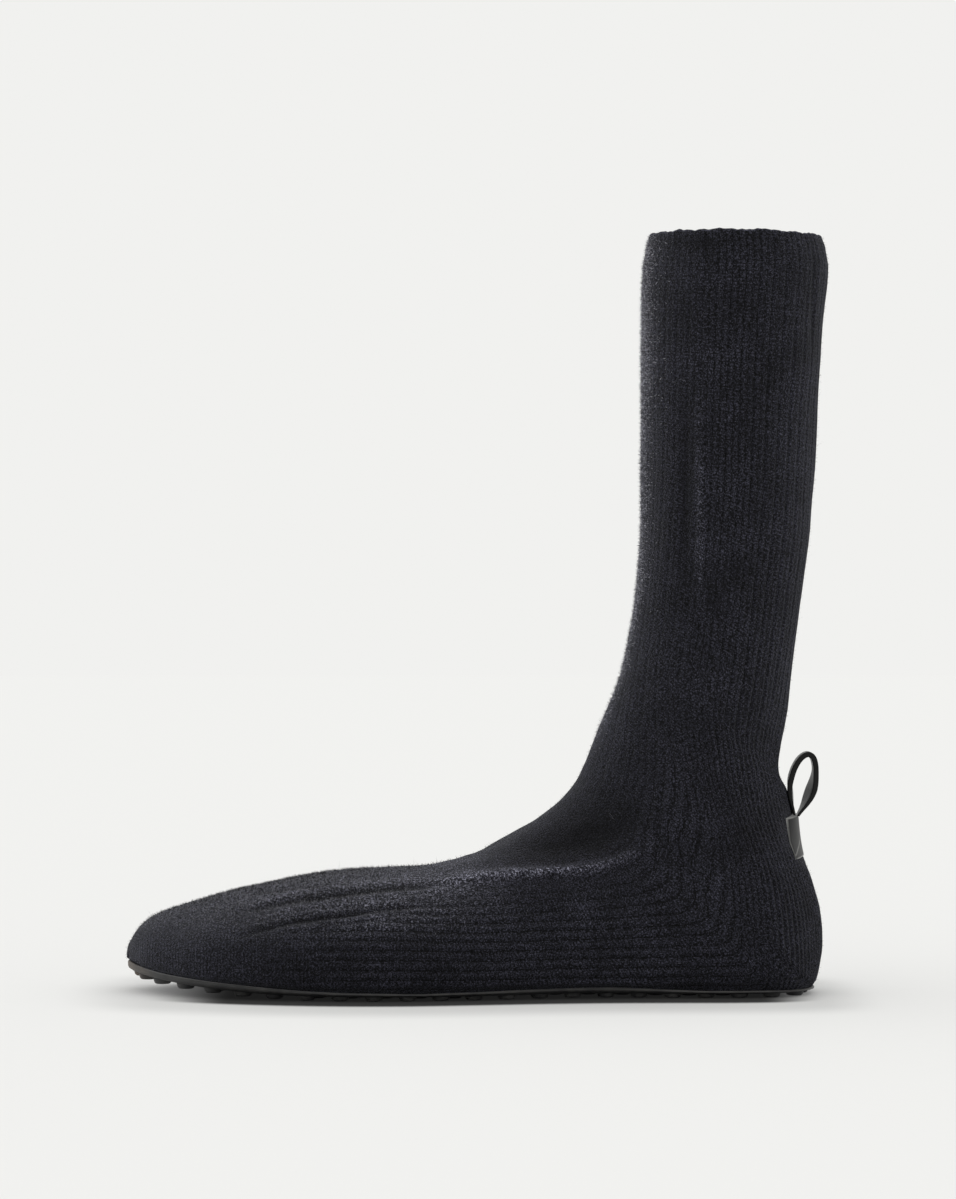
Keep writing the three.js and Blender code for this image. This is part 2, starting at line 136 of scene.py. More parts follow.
# Sections of the last from the toe round the heel and up the shaft, as in the CAD:
# crest ahead and up, base ahead and up, inner side, outer side, ridge, belly, floor
SECTIONS = np.array([
    [259, 13.4, 259, 13.4, 12, 12, 12, 0.4, 2.2],
    [258.4, 16.6, 258.4, 10.1, 17.5, 6.5, 12, 0.4, 2.2],
    [257, 19.4, 257, 7.9, 22.5, 1, 12, 0.4, 2.6],
    [254, 23.7, 254, 5.6, 28.8, -6.5, 12, 0.38, 3],
    [249.2, 27.2, 249.2, 4.7, 33.8, -14, 12, 0.36, 3.5],
    [240, 30.7, 240, 3.5, 39.2, -22.5, 12, 0.36, 4.2],
    [228, 34.4, 228, 2.3, 43.2, -31, 11, 0.36, 5],
    [212, 38.8, 212, 1.2, 45.8, -38, 10, 0.36, 5.5],
    [195, 42.2, 195, 0.5, 46.2, -42.6, 9, 0.36, 5.5],
    [178, 44.6, 178, 0.2, 45, -45, 8, 0.36, 5.5],
    [160, 45.8, 160, 0.1, 41.5, -45.6, 7, 0.35, 5.5],
    [144, 47.6, 140, 0.2, 36.5, -43, 5, 0.34, 5.5],
    [130, 51.4, 120, 0.4, 32, -39, 3, 0.33, 5.5],
    [117.8, 57.6, 98, 0.5, 29.5, -35, 1.5, 0.3, 5.5],
    [106.6, 64, 74, 0.5, 28.5, -32, 0, 0.27, 5.5],
    [97.9, 70.9, 49, 0.2, 29, -30.5, 0, 0.25, 5],
    [91.6, 77.5, 24, 0.1, 29.3, -29.8, 0, 0.25, 4],
    [88.2, 83.8, 5.5, 1.2, 29, -29.3, 0, 0.28, 3],
    [85.5, 90.5, 0.7, 12, 28.6, -28.9, 0, 0.32, 2.3],
    [82.8, 97, 0.5, 28, 28.2, -28.5, 0, 0.37, 2.1],
    [80, 103.5, 3.7, 42, 27.6, -27.9, 0, 0.42, 1.9],
    [77, 111.5, 8.4, 56, 27, -27.2, 0, 0.46, 1.8],
    [74.1, 120, 12.3, 74, 26.6, -26.6, 0, 0.49, 1.8],
    [71.3, 132, 15.9, 84, 26.4, -26.4, 0, 0.5, 1.9],
    [68.8, 148, 12.5, 107, 26.4, -26.4, 0, 0.5, 2],
    [67, 168, 9, 134, 26.6, -26.6, 0, 0.5, 2.1],
    [66.3, 195, 4.3, 172, 27, -27, 0, 0.5, 2.2],
    [66.5, 225, 1.6, 217, 27.6, -27.6, 0, 0.5, 2.2],
    [66.2, 254, -0.6, 250, 28.4, -28.4, 0, 0.5, 2.2],
    [65.4, 271, -2.2, 270, 28.6, -28.6, 0, 0.5, 2.2],
    [63.6, 281.2, 0.4, 280.4, 28.2, -28.2, 0, 0.5, 2.2],
])
CROWN = 2.2  # roundness of a section above its widest place, as the last column is below it
COLLAR_PLACE = len(SECTIONS) - 1
TOE_TIP = np.array([259, 12, 13.4])

# Outline of the sole: distance ahead of the heel, and its inner and outer edges
SOLE_OUTLINE = [
    [2.6, 0, 0],
    [7.5, 17.5, -17.5],
    [18, 24.5, -25],
    [34, 27.5, -28],
    [55, 27, -28.5],
    [80, 25, -29.5],
    [105, 26, -33],
    [130, 31, -38.5],
    [155, 38, -43],
    [178, 43.6, -42.8],
    [200, 44.3, -38.8],
    [220, 42.6, -31.8],
    [236, 38, -23],
    [248.6, 30, -12],
    [256, 22, 1.5],
    [258.5, 12, 12],
]

# Height of the sole's rim above its plate: it climbs beside the arch and around the toe
RIM_AHEAD = [0, 45, 78, 112, 148, 180, 215, 245, 259]
RIM_HEIGHT = [0.3, 0.4, 1.5, 1.1, 0.4, 0.9, 1.9, 2, 2.6]

RIBS = 39  # ribs on each side, from the middle of the sole or back to the crest
RIB_COLUMNS = 5  # columns of faces to a rib
HALF_STEPS = 220  # points of a section below its widest place, and as many above it
RIBS_UNDER_SOLE = 17
FOOT_RIB_PITCH = 3.6
HEEL_RIB_PITCH = 2.2
RIB_DEPTH = 0.5
TOE_RIBS_END = 222  # ahead of here the knit is plain
TOE_RIBS_FULL = 165
MITRE_START = 20  # the heel's mitre is sharp up to this rib and rounds off to the next one
MITRE_END = 36
MITRE_SHARP = 0.6
MITRE_ROUND = 8
HEEL_ARC = 14  # how far the ribs under the heel fan out, and how soon
HEEL_ARC_FADE = 6
STITCH_PITCH = 1.3
RING_SPACING = (1.8, 5.4)  # on the foot and on the shaft
LINING_SPACING = (11, 18)
LINING_START = 2  # the first of the sections that the lining follows
LINING_RIBS = 0.22
COLLAR_EDGE = COLLAR_PLACE - 0.108  # where the collar's round edge begins
COLLAR_RINGS = 6  # the last rings, which are uneven
TUCK_ABOVE = 1.4  # the knit draws in behind the rim from here above it
TUCK_BELOW = 5
FLAT_UP, FLAT_HIGH, FLAT_WIDE = 58, 12, 16  # the oval under the heel tab where it lies flat
FLAT_AHEAD = 30
KNIT_RIPPLES = [(28, 3, 0.35), (9, 5, 0.1)]  # size, seed and strength
COLLAR_RIPPLES = [(7, 11, 0.3), (2.6, 12, 0.24)]
SHADE_RIPPLES = [(16, 9, 0.12)]

upper_low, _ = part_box("upper")
tab_low, tab_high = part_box("heel_tab")
TAB_MIDDLE = -1  # where the tab's middle lies across the heel
HEEL_X = upper_low.x + FOOT_LENGTH * MM
MIDDLE_Y = (tab_low.y + tab_high.y) / 2 - TAB_MIDDLE * MM


def in_frame(ahead, across, up):
    """Places ahead of the heel, across and up, in millimetres, as points of the frame."""
    parts = [HEEL_X - ahead * MM, MIDDLE_Y + across * MM, up * MM]
    return np.stack(np.broadcast_arrays(*parts), axis=-1)


def smooth_step(value, start, end):
    share = np.clip((value - start) / (end - start), 0, 1)
    return share * share * (3 - 2 * share)


def lift(ahead):
    toe_share = np.clip((ahead - SPRING_START) / (FOOT_LENGTH - SPRING_START), 0, None)
    arch_share = np.clip((ahead - ARCH_BACK) / (ARCH_FRONT - ARCH_BACK), 0, 1)
    return TOE_SPRING * toe_share**SPRING_POWER + ARCH_RISE * np.sin(np.pi * arch_share) ** 2


def sole_top(ahead):
    return PEBBLE_HEIGHT + PLATE + lift(ahead)


def rim_top(ahead):
    return sole_top(ahead) + np.interp(ahead, RIM_AHEAD, RIM_HEIGHT)


def blend_rows(rows, place):
    """Smooth value of each column between the rows of a table, at places counted in rows."""
    last = len(rows) - 1
    low = np.minimum(np.floor(place).astype(int), last - 1)
    part = (place - low)[:, None]
    a, b, d, e = (rows[np.clip(low + step, 0, last)] for step in (-1, 0, 1, 2))
    bend = (3 * (b - d) + e - a) * part + (2 * a - 5 * b + 4 * d - e)
    return b + 0.5 * part * (d - a + part * bend)


def half_section(section, place, side):
    """One side of a section from its base up to its crest: ahead, across and up."""
    crest_ahead, crest_up, base_ahead, base_up = section[:4]
    ridge, belly, floor = section[6:]
    turn = smooth_step(np.linspace(1, 0, HALF_STEPS + 1), 0, 1) * math.pi / 2
    sine = np.clip(np.sin(turn), 0, 1)
    cosine = np.clip(np.cos(turn), 0, 1)
    middle = (section[4] + section[5]) / 2
    floor_share = belly * (1 - sine ** (2 / floor))
    floor_across = middle + (side - middle) * cosine ** (2 / floor)
    crown_share = belly + (1 - belly) * cosine ** (2 / CROWN)
    crown_across = ridge + (side - ridge) * sine ** (2 / CROWN)
    share = np.concatenate([floor_share, crown_share[1:]])
    across = np.concatenate([floor_across, crown_across[1:]])
    swell = COLLAR_SWELL * max(0, place - COLLAR_PLACE + 1)
    ahead = base_ahead + (crest_ahead - base_ahead) * share
    up = base_up + (crest_up - base_up) * share + swell * np.sin(np.pi * share) ** 2
    return ahead, across, up


def softer_minimum(first, second, softness):
    low = np.minimum(first, second)
    gap = np.abs(first - second) / softness
    return low - softness * np.log1p(np.exp(-gap))


def rib_counts(ahead, across, up):
    """Rib number at each point of a half section. The ribs run along the foot, and are
    mitred into those that climb the heel and the shaft."""
    above = up - sole_top(ahead)
    on_floor = above[0] < 0
    edge = int(np.argmax(above > 0)) if on_floor else 0
    rise = np.hypot(np.diff(across), np.diff(up))
    rise[:HALF_STEPS] = np.abs(np.diff(up))[:HALF_STEPS]
    run = np.hypot(np.diff(across), np.diff(ahead))
    rise_sum = np.concatenate([[0], np.cumsum(rise)])
    run_sum = np.concatenate([[0], np.cumsum(run)])
    along_foot = RIBS_UNDER_SOLE + (rise_sum - rise_sum[edge]) / FOOT_RIB_PITCH
    up_heel = (run_sum - run_sum[edge]) / HEEL_RIB_PITCH
    if on_floor:
        heel_arc = ahead[edge] + HEEL_ARC * (1 - math.exp(-ahead[edge] / HEEL_ARC_FADE))
        up_heel = up_heel + heel_arc / HEEL_RIB_PITCH
    else:
        along_foot = along_foot + above[0] / FOOT_RIB_PITCH
    rounded = smooth_step(np.minimum(along_foot, up_heel), MITRE_START, MITRE_END)
    softness = MITRE_SHARP + (MITRE_ROUND - MITRE_SHARP) * rounded
    count = softer_minimum(along_foot, up_heel, softness)
    edge_count = max(0, count[edge])
    stretch = (RIBS - edge_count) / (count[-1] - count[edge])
    shown = np.maximum.accumulate(edge_count + (count[edge:] - count[edge]) * stretch)
    hidden = np.linspace(0, edge_count, edge + 1)[:-1] if edge else np.empty(0)
    return np.concatenate([hidden, shown])


def ring_places(first, last, foot_spacing, shaft_spacing):
    """Places of the rings of faces, closer together on the foot than on the shaft."""
    places = [np.array([first])]
    for row in range(COLLAR_PLACE):
        start, end = SECTIONS[row], SECTIONS[row + 1]
        length = max(math.dist(start[:2], end[:2]), math.dist(start[2:4], end[2:4]))
        spacing = foot_spacing if end[3] < 120 else shaft_spacing
        count = max(2, round(length / spacing))
        inside = row + np.arange(1, count + 1) / count
        places.append(inside[(inside > first) & (inside < last)])
    return np.concatenate([*places, [last]])


def last_rings(places):
    """Points of the last at each place, on columns that follow the ribs."""
    wanted = np.arange(RIBS * RIB_COLUMNS + 1) / RIB_COLUMNS
    points = np.empty((len(places), 2 * RIBS * RIB_COLUMNS + 1, 3))
    for index, (place, section) in enumerate(zip(places, blend_rows(SECTIONS, places))):
        halves = []
        for side in (section[5], section[4]):
            half = half_section(section, place, side)
            counts = rib_counts(*half)
            halves.append(np.stack([np.interp(wanted, counts, part) for part in half], axis=-1))
        points[index] = np.concatenate([halves[0], halves[1][-2::-1]])
    return points


def grid_normals(points):
    """Outward directions on a grid of rings that run from the toe to the collar."""
    along = np.gradient(points, axis=0)
    wrapped = np.concatenate([points[:, -2:-1], points, points[:, 1:2]], axis=1)
    around = wrapped[:, 2:] - wrapped[:, :-2]
    normals = np.cross(around, along)
    length = np.linalg.norm(normals, axis=-1, keepdims=True)
    return normals / np.maximum(length, 1e-9)


def lengths_along(route):
    """Distance from the start of a route to each of its points."""
    steps = np.linalg.norm(np.diff(route, axis=0), axis=1)
    return np.concatenate([[0], np.cumsum(steps)])


def evenly_spaced(route, count, closed):
    """Points at even distances along a route. A closed one doesn't repeat its start."""
    length = lengths_along(route)
    wanted = np.linspace(0, length[-1], count, endpoint=not closed)
    return np.stack([np.interp(wanted, length, route[:, axis]) for axis in (0, 1)], axis=-1)


def smooth_closed(points, count):
    """Evenly spaced points on a closed smooth curve through the given ones."""
    points = np.asarray(points, float)
    dense = []
    for index in range(len(points)):
        four = [points[(index + step) % len(points)] for step in (-1, 0, 1, 2)]
        knots = np.cumsum([0] + [math.dist(p, q) ** 0.5 for p, q in zip(four, four[1:])])
        for t in np.linspace(knots[1], knots[2], 40, endpoint=False):
            blend = four
            for spans in (((0, 1), (1, 2), (2, 3)), ((0, 2), (1, 3)), ((1, 2),)):
                blend = [
                    p + (q - p) * (t - knots[low]) / (knots[high] - knots[low])
                    for p, q, (low, high) in zip(blend, blend[1:], spans)
                ]
            dense.append(blend[0])
    return evenly_spaced(np.array(dense + dense[:1]), count, closed=True)


def sole_outline(count):
    """The sole's outline as ahead and across, and its outward directions."""
    inner = [(at, edge) for at, edge, _ in SOLE_OUTLINE]
    outer = [(at, edge) for at, _, edge in SOLE_OUTLINE[1:-1]]
    spots = smooth_closed(inner + outer[::-1], count)
    along = np.roll(spots, -1, axis=0) - np.roll(spots, 1, axis=0)
    outward = np.stack([-along[:, 1], along[:, 0]], axis=-1)
    return spots, outward / np.linalg.norm(outward, axis=1, keepdims=True)


def tuck_into_rim(points):
    """Draws the knit in behind the sole's rim, below the rim's upper edge."""
    flat = points.reshape(-1, 3)
    top = rim_top(flat[:, 0])
    low = np.flatnonzero((flat[:, 2] < top + TUCK_ABOVE) & (flat[:, 2] > top - TUCK_BELOW))
    spots, outward = sole_outline(420)
    for chunk in np.array_split(low, max(1, len(low) // 4000)):
        away = flat[chunk, None, :2] - spots[None]
        nearest = np.argmin(np.sum(away * away, axis=-1), axis=1)
        beyond = np.sum(away[np.arange(len(chunk)), nearest] * outward[nearest], axis=-1)
        wanted = np.minimum(beyond, -LIP_WIDTH - GAP / 2)
        share = 1 - smooth_step(flat[chunk, 2], top[chunk] - 0.2, top[chunk] + TUCK_ABOVE)
        flat[chunk, :2] += outward[nearest] * ((wanted - beyond) * share)[:, None]
    return flat.reshape(points.shape)


# Folds of the knit, as routes of ahead and up: the hollow over the instep with its ridge,
# the long tucks beside the ball and the pinched streak up the shaft.
# Each has its height (hollows are negative), its half width, and the side that it is on.
FOLDS = [
    (-1, [(122, 53), (110, 54.5), (98, 55), (86, 57), (76, 61), (66, 67)], -1.4, 5.4),
    (-1, [(104, 62), (88, 66), (74, 74), (62, 86)], -0.7, 9),
    (-1, [(146, 40), (133.7, 43.6), (116, 45.6), (98.7, 46.6), (87.4, 47.4), (78.6, 49.6),
          (71, 52.4), (64, 56.4)], 1.6, 1.8),
    (-1, [(215.6, 31.4), (197, 35.4), (168, 39.4), (153, 41), (134, 41.4)], -1.5, 0.95),
    (-1, [(214.6, 23.4), (195, 28.8), (168, 32.6), (156, 34), (142, 35.6)], -1.4, 0.95),
    (-1, [(212, 33.6), (195, 37.8), (170, 41.6), (153, 43.2)], 0.7, 1.2),
    (-1, [(214.8, 36.9), (200, 38.9), (187.2, 40.6)], -0.6, 0.7),
    (-1, [(190, 26), (170, 29.4), (150, 32)], -0.5, 0.7),
    (-1, [(46.3, 140), (46.3, 165), (46.3, 195), (46.6, 226)], 0.6, 1.5),
    (-1, [(51.4, 144), (51.4, 170), (51.2, 200), (51.4, 224)], -0.9, 2.4),
    (-1, [(4.6, 238), (4.2, 256), (3.6, 275)], -0.8, 0.9),
    (-1, [(38, 276.4), (50, 276.8), (63, 276)], -0.7, 1.6),
    (-1, [(43, 262), (43.4, 270), (43, 279)], -0.6, 1.1),
    (-1, [(34, 56), (25, 66), (16, 74)], -0.5, 3),
    (1, [(128, 50.6), (112, 52.4), (96, 53.4), (80, 56)], -2, 2.4),
    (1, [(134, 46.6), (116, 48.4), (98, 49.6), (84, 51)], 1, 1.6),
    (1, [(206, 30), (180, 34.4), (156, 37.8), (130, 38.6)], -1, 0.8),
    (1, [(196, 22.6), (172, 27.6), (150, 31.4)], -0.8, 0.8),
    (1, [(40, 150), (40.6, 176), (41, 204)], -0.8, 2.4),
    (1, [(30, 262), (31, 270), (31, 279)], -0.6, 1.2),
]


def fold_heights(points):
    """How far the folds lift or sink the knit at each point."""
    height = np.zeros(points.shape[:-1])
    for side, route, tall, wide in FOLDS:
        route = np.array(route, float)
        shape = np.zeros(points.shape[:-1])
        lengths = lengths_along(route)
        for index, (start, end) in enumerate(zip(route[:-1], route[1:])):
            step = end - start
            ahead = points[..., 0] - start[0]
            up = points[..., 2] - start[1]
            share = np.clip((ahead * step[0] + up * step[1]) / (step @ step), 0, 1)
            away = np.hypot(ahead - share * step[0], up - share * step[1])
            reached = (lengths[index] + share * math.dist(start, end)) / lengths[-1]
            fade = np.sin(np.pi * np.clip(reached, 0.02, 0.98)) ** 0.6
            shape = np.maximum(shape, fade * np.exp(-((away / wide) ** 2)))
        height += tall * shape * smooth_step(side * points[..., 1], -4, 4)
    return height


def ripples(points, layers):
    """Slow seeded waviness, from layers of a size in millimetres, a seed and a strength."""
    total = np.zeros(points.shape[:-1])
    for size, seed, strength in layers:
        random = np.random.default_rng(seed)
        for _ in range(7):
            way = random.normal(size=3)
            way *= 2 * math.pi / (size * np.linalg.norm(way) * random.uniform(0.7, 1.5))
            wave = np.sin(points @ way + random.uniform(0, 2 * math.pi))
            total += strength * wave / 4
    return total


def rib_strength(points):
    """How clearly the ribs show, from 0 to 1: they die out towards the toe, over the top of
    the foot and where the shaft faces forwards."""
    ahead, up = points[..., 0], points[..., 2]
    toe = 1 - smooth_step(ahead, TOE_RIBS_FULL, TOE_RIBS_END)
    foot_top = smooth_step(up, 24, 44) * smooth_step(ahead, 56, 92)
    shaft_front = smooth_step(ahead, 32, 60) * smooth_step(up, 70, 110)
    shaft_back = smooth_step(ahead, 26, 8) * smooth_step(up, 110, 170)
    return toe * (1 - 0.85 * foot_top) * (1 - 0.55 * shaft_front) * (1 - 0.35 * shaft_back)


def front_band(points):
    """How near the knit is to the line where it faces forwards, from 0 to 1. The band is
    narrow over the instep and wider up the shaft."""
    ahead, up = points[..., 0], points[..., 2]
    front = np.interp(up, [50, 64, 83, 100, 120, 150, 281], [125, 106, 88, 80.6, 73.6, 67.6, 65])
    wide = np.interp(up, [60, 130, 220], [0.7, 0.9, 1.9])
    return np.exp(-np.clip(front - ahead, 0, None) / wide)


def painted_sheen_strength(points):
    """Where a pale highlight is painted on the knit, from 0 to 1: over the top of the forefoot and
    down the front of the shaft, where the fuzz catches the light."""
    ahead, up = points[..., 0], points[..., 2]
    top = smooth_step(up, 19, 42) * smooth_step(ahead, 105, 160)
    edge = front_band(points) * smooth_step(up, 62, 150)
    return 0.55 * top + 0.5 * edge


def rib_grooves(points, counts):
    """How deep each point lies between the ribs, from 0 to 1. Up the shaft every second
    groove is the deeper one."""
    groove = 0.5 - 0.5 * np.cos(2 * math.pi * counts)
    second = 0.5 + 0.5 * np.cos(math.pi * (counts - 0.5))
    on_shaft = smooth_step(points[..., 2], 70, 120)
    return groove * rib_strength(points) * (1 - 0.62 * on_shaft * (1 - second))


def wrapped_grid(name, grid):
    """A grid of faces laid over rows of points in millimetres. Its map runs from 0 to 1
    across each row, and down the rows by length."""
    rows, columns = grid.shape[:2]
    bpy.ops.mesh.primitive_grid_add(
        x_subdivisions=columns - 1, y_subdivisions=rows - 1, size=1, calc_uvs=True
    )
    wrapped = bpy.context.object
    wrapped.name = name
    wrapped.data.name = name
    places = in_frame(grid[..., 0], grid[..., 1], grid[..., 2])
    wrapped.data.vertices.foreach_set("co", places.ravel())
    steps = np.linalg.norm(np.diff(grid, axis=0), axis=-1).mean(axis=1)
    length = np.concatenate([[0], np.cumsum(steps)])[:, None] * MM
    corner = np.empty(len(wrapped.data.loops), dtype=np.int32)
    wrapped.data.loops.foreach_get("vertex_index", corner)
    along = np.broadcast_to(length, grid.shape[:2]).ravel()[corner]
    across = np.broadcast_to(np.linspace(0, 1, columns), grid.shape[:2]).ravel()[corner]
    map_points = np.stack([across, along], axis=-1)
    wrapped.data.uv_layers[0].data.foreach_set("uv", map_points.ravel())
    return wrapped


def close_grid():
    """Merges the seam and the poles of the new grid, and turns its faces outwards."""
    bpy.ops.object.mode_set(mode="EDIT")
    bpy.ops.mesh.select_mode(type="VERT")
    bpy.ops.mesh.select_all(action="SELECT")
    bpy.ops.mesh.remove_doubles(threshold=1e-6)
    bpy.ops.mesh.normals_make_consistent(inside=False)
    bpy.ops.object.mode_set(mode="OBJECT")
    bpy.ops.object.shade_smooth()


def mark(piece, name, values):
    """Stores a value at each point of a piece, for its material to read."""
    marks = piece.data.attributes.new(name, "FLOAT", "POINT")
    marks.data.foreach_set("value", values.ravel())


def collar_rim(middle, outwards):
    """Half round rings that turn the knit over at the collar."""
    rim = []
    for turn in np.linspace(0, math.pi, 9)[1:-1]:
        bulge = outwards * math.cos(turn) * KNIT / 2
        rim.append(middle + bulge + np.array([0, 0, math.sin(turn) * KNIT / 2]))
    return np.array(rim)


def clear_hidden_knit(upper, grid):
    """Deletes the knit that lies under the sole's rim, where it never shows."""
    flat = grid.reshape(-1, 3)
    buried = flat[:, 2] < sole_top(flat[:, 0]) - 0.4
    mesh = upper.data
    corners = np.empty(len(mesh.polygons) * 4, dtype=np.int32)
    mesh.polygons.foreach_get("vertices", corners)
    mesh.vertices.foreach_set("select", buried)
    mesh.edges.foreach_set("select", np.zeros(len(mesh.edges), dtype=bool))
    mesh.polygons.foreach_set("select", buried[corners].reshape(-1, 4).all(axis=1))
    bpy.ops.object.mode_set(mode="EDIT")
    bpy.ops.mesh.select_mode(type="FACE")
    bpy.ops.mesh.delete(type="FACE")
    bpy.ops.object.mode_set(mode="OBJECT")


def knit_upper():
    places = ring_places(0, COLLAR_EDGE, *RING_SPACING)
    points = last_rings(places[1:])
    points = np.concatenate([np.broadcast_to(TOE_TIP, points[:1].shape), points])
    normals = grid_normals(points)
    columns = points.shape[1]
    half = columns // 2
    counts = np.abs(half - np.abs(np.arange(columns) - half)) / RIB_COLUMNS
    folds = fold_heights(points)
    stretched = 1 - 0.8 * np.clip(np.abs(folds), 0, 1)
    grooves = rib_grooves(points, np.broadcast_to(counts, points.shape[:2])) * stretched
    relief = RIB_DEPTH * (0.3 - grooves) + folds
    relief += ripples(points, KNIT_RIPPLES)
    relief *= smooth_step(np.arange(len(places)), 0, 6)[:, None]
    above = (points[..., 2] - FLAT_UP) / FLAT_HIGH
    beside = (points[..., 1] - TAB_MIDDLE) / FLAT_WIDE
    round_tab = smooth_step(np.hypot(above, beside), 0.8, 1.3)
    relief *= np.where(points[..., 0] < FLAT_AHEAD, round_tab, 1)
    outer = tuck_into_rim(points + normals * relief[..., None])

    top = outer[-COLLAR_RINGS:]
    top[..., 2] += ripples(top, COLLAR_RIPPLES) * np.linspace(0.1, 1, COLLAR_RINGS)[:, None]
    outwards = normals[-1] * (1, 1, 0)
    outwards /= np.linalg.norm(outwards, axis=-1, keepdims=True)
    middle = outer[-1] - outwards * KNIT / 2

    lining = last_rings(ring_places(LINING_START, COLLAR_EDGE, *LINING_SPACING)[::-1])
    lining_relief = KNIT - 0.1 + LINING_RIBS * np.cos(2 * math.pi * counts)
    lining = lining + grid_normals(lining) * lining_relief[None, :, None]
    lining[0] = middle - outwards * KNIT / 2
    lining[-1] = lining[-1].mean(axis=0)

    grid = np.concatenate([outer, collar_rim(middle, outwards), lining])
    grid[..., 2] = np.maximum(grid[..., 2], sole_top(grid[..., 0]) - 0.5)
    upper = wrapped_grid("knit_upper", grid)
    tuck_share = np.clip(-folds, 0, 1)
    ridge_share = np.clip(folds, 0, 1.5)
    # The first mark paints shade into the fold hollows and a highlight on their ridges, and the
    # lining gets its lightest value. The second sets how strongly the shade in the rib grooves is
    # painted. The third paints a pale highlight over the toe, down the shaft's front and on the
    # fold ridges, and less in the tucks.
    marks = [
        ("painted_fold_shade", 0, 0.5 - 0.36 * folds + ripples(points, SHADE_RIPPLES)),
        ("ribbed", 0.4, rib_strength(points) * stretched),
        ("painted_sheen", 0, painted_sheen_strength(points) * (1 - 0.9 * tuck_share) + 0.26 * ridge_share),
    ]
    for name, inside, outside in marks:
        values = np.full(grid.shape[:2], inside, float)
        values[: len(outer)] = outside
        mark(upper, name, values)
    clear_hidden_knit(upper, grid)
    close_grid()
    return upper, outer, normals


def link(tree, source, output, target, socket):
    tree.links.new(source.outputs[output], target.inputs[socket])


def noise(tree, place, scale, detail):
    texture = new_node(tree, "ShaderNodeTexNoise", {"Scale": scale, "Detail": detail})
    link(tree, place, "Object", texture, "Vector")
    return texture


def ramp(tree, source, output, stops):
    """Colours between stops, each a position and a colour or a grey."""
    colours = tree.nodes.new("ShaderNodeValToRGB")
    for element, (position, colour) in zip(colours.color_ramp.elements, stops):
        element.position = position
        element.color = (colour, colour, colour, 1) if isinstance(colour, float) else (*colour, 1)
    link(tree, source, output, colours, "Fac")
    return colours


def colour_mix(tree, values):
    mix = tree.nodes.new("ShaderNodeMix")
    mix.data_type = "RGBA"
    fill_in(mix, values)
    return mix


def multiplied(tree, layers):
    """The product of several colours, each given as a node and its output."""
    (below, output), *others = layers
    for node, colour in others:
        product = colour_mix(tree, {"Factor": 1})
        product.blend_type = "MULTIPLY"
        link(tree, below, output, product, 6)
        link(tree, node, colour, product, 7)
        below = product
        output = 2
    return below


def faded_in(tree, colour, share, output):
    """A colour that shows by a share from 0 to 1, and is white where it doesn't."""
    mix = colour_mix(tree, {6: (1, 1, 1, 1)})
    link(tree, share, output, mix, "Factor")
    link(tree, colour, "Color", mix, 7)
    return mix


def bumps(tree, shader, layers):
    """Relief from several textures: each a node, its output, a strength and a height."""
    below = None
    for node, output, strength, height in layers:
        bump = new_node(tree, "ShaderNodeBump", {"Strength": strength, "Distance": height * MM})
        link(tree, node, output, bump, "Height")
        if below:
            link(tree, below, "Normal", bump, "Normal")
        below = bump
    link(tree, below, "Normal", shader, "Normal")


def attribute(tree, name):
    node = tree.nodes.new("ShaderNodeAttribute")
    node.attribute_name = name
    return node


def bands(tree, stitches, direction, values):
    """Soft stripes on the knit's map, which waver a little."""
    stripes = new_node(tree, "ShaderNodeTexWave", values)
    stripes.wave_type = "BANDS"
    stripes.bands_direction = direction
    link(tree, stitches, "Vector", stripes, "Vector")
    return stripes


def groove_shade_lines(tree, stitches, loops, scale, strength):
    """Thin dark lines of painted shade in the grooves between the ribs, broken up by the loops of
    the yarn.
    """
    lines = bands(tree, stitches, "X", {
        "Scale": scale, "Phase Offset": math.pi, "Distortion": 1, "Detail Scale": 1.3,
    })
    broken = new_node(tree, "ShaderNodeMath", {1: 0.6})
    broken.operation = "MULTIPLY_ADD"
    link(tree, loops, "Fac", broken, 0)
    link(tree, lines, "Fac", broken, 2)
    line_shade = ramp(tree, broken, "Value", [(0.3, 0.12), (0.5, 1.12)])
    clear = new_node(tree, "ShaderNodeMath", {1: strength})
    clear.operation = "MULTIPLY"
    link(tree, attribute(tree, "ribbed"), "Fac", clear, 0)
    return faded_in(tree, line_shade, clear, "Value")


DYE_DARK = (0.0088, 0.0088, 0.0128)
DYE_LIGHT = (0.0165, 0.0166, 0.0235)
SHEEN_TUFTS_DARK = (0.15, 0.15, 0.15)  # tufts of the painted highlight, as shares of the dye
SHEEN_TUFTS_LIGHT = (11, 10.9, 9.6)
ONE_BAND = 0.314  # scale at which a stripe is as wide as a rib or a row of stitches


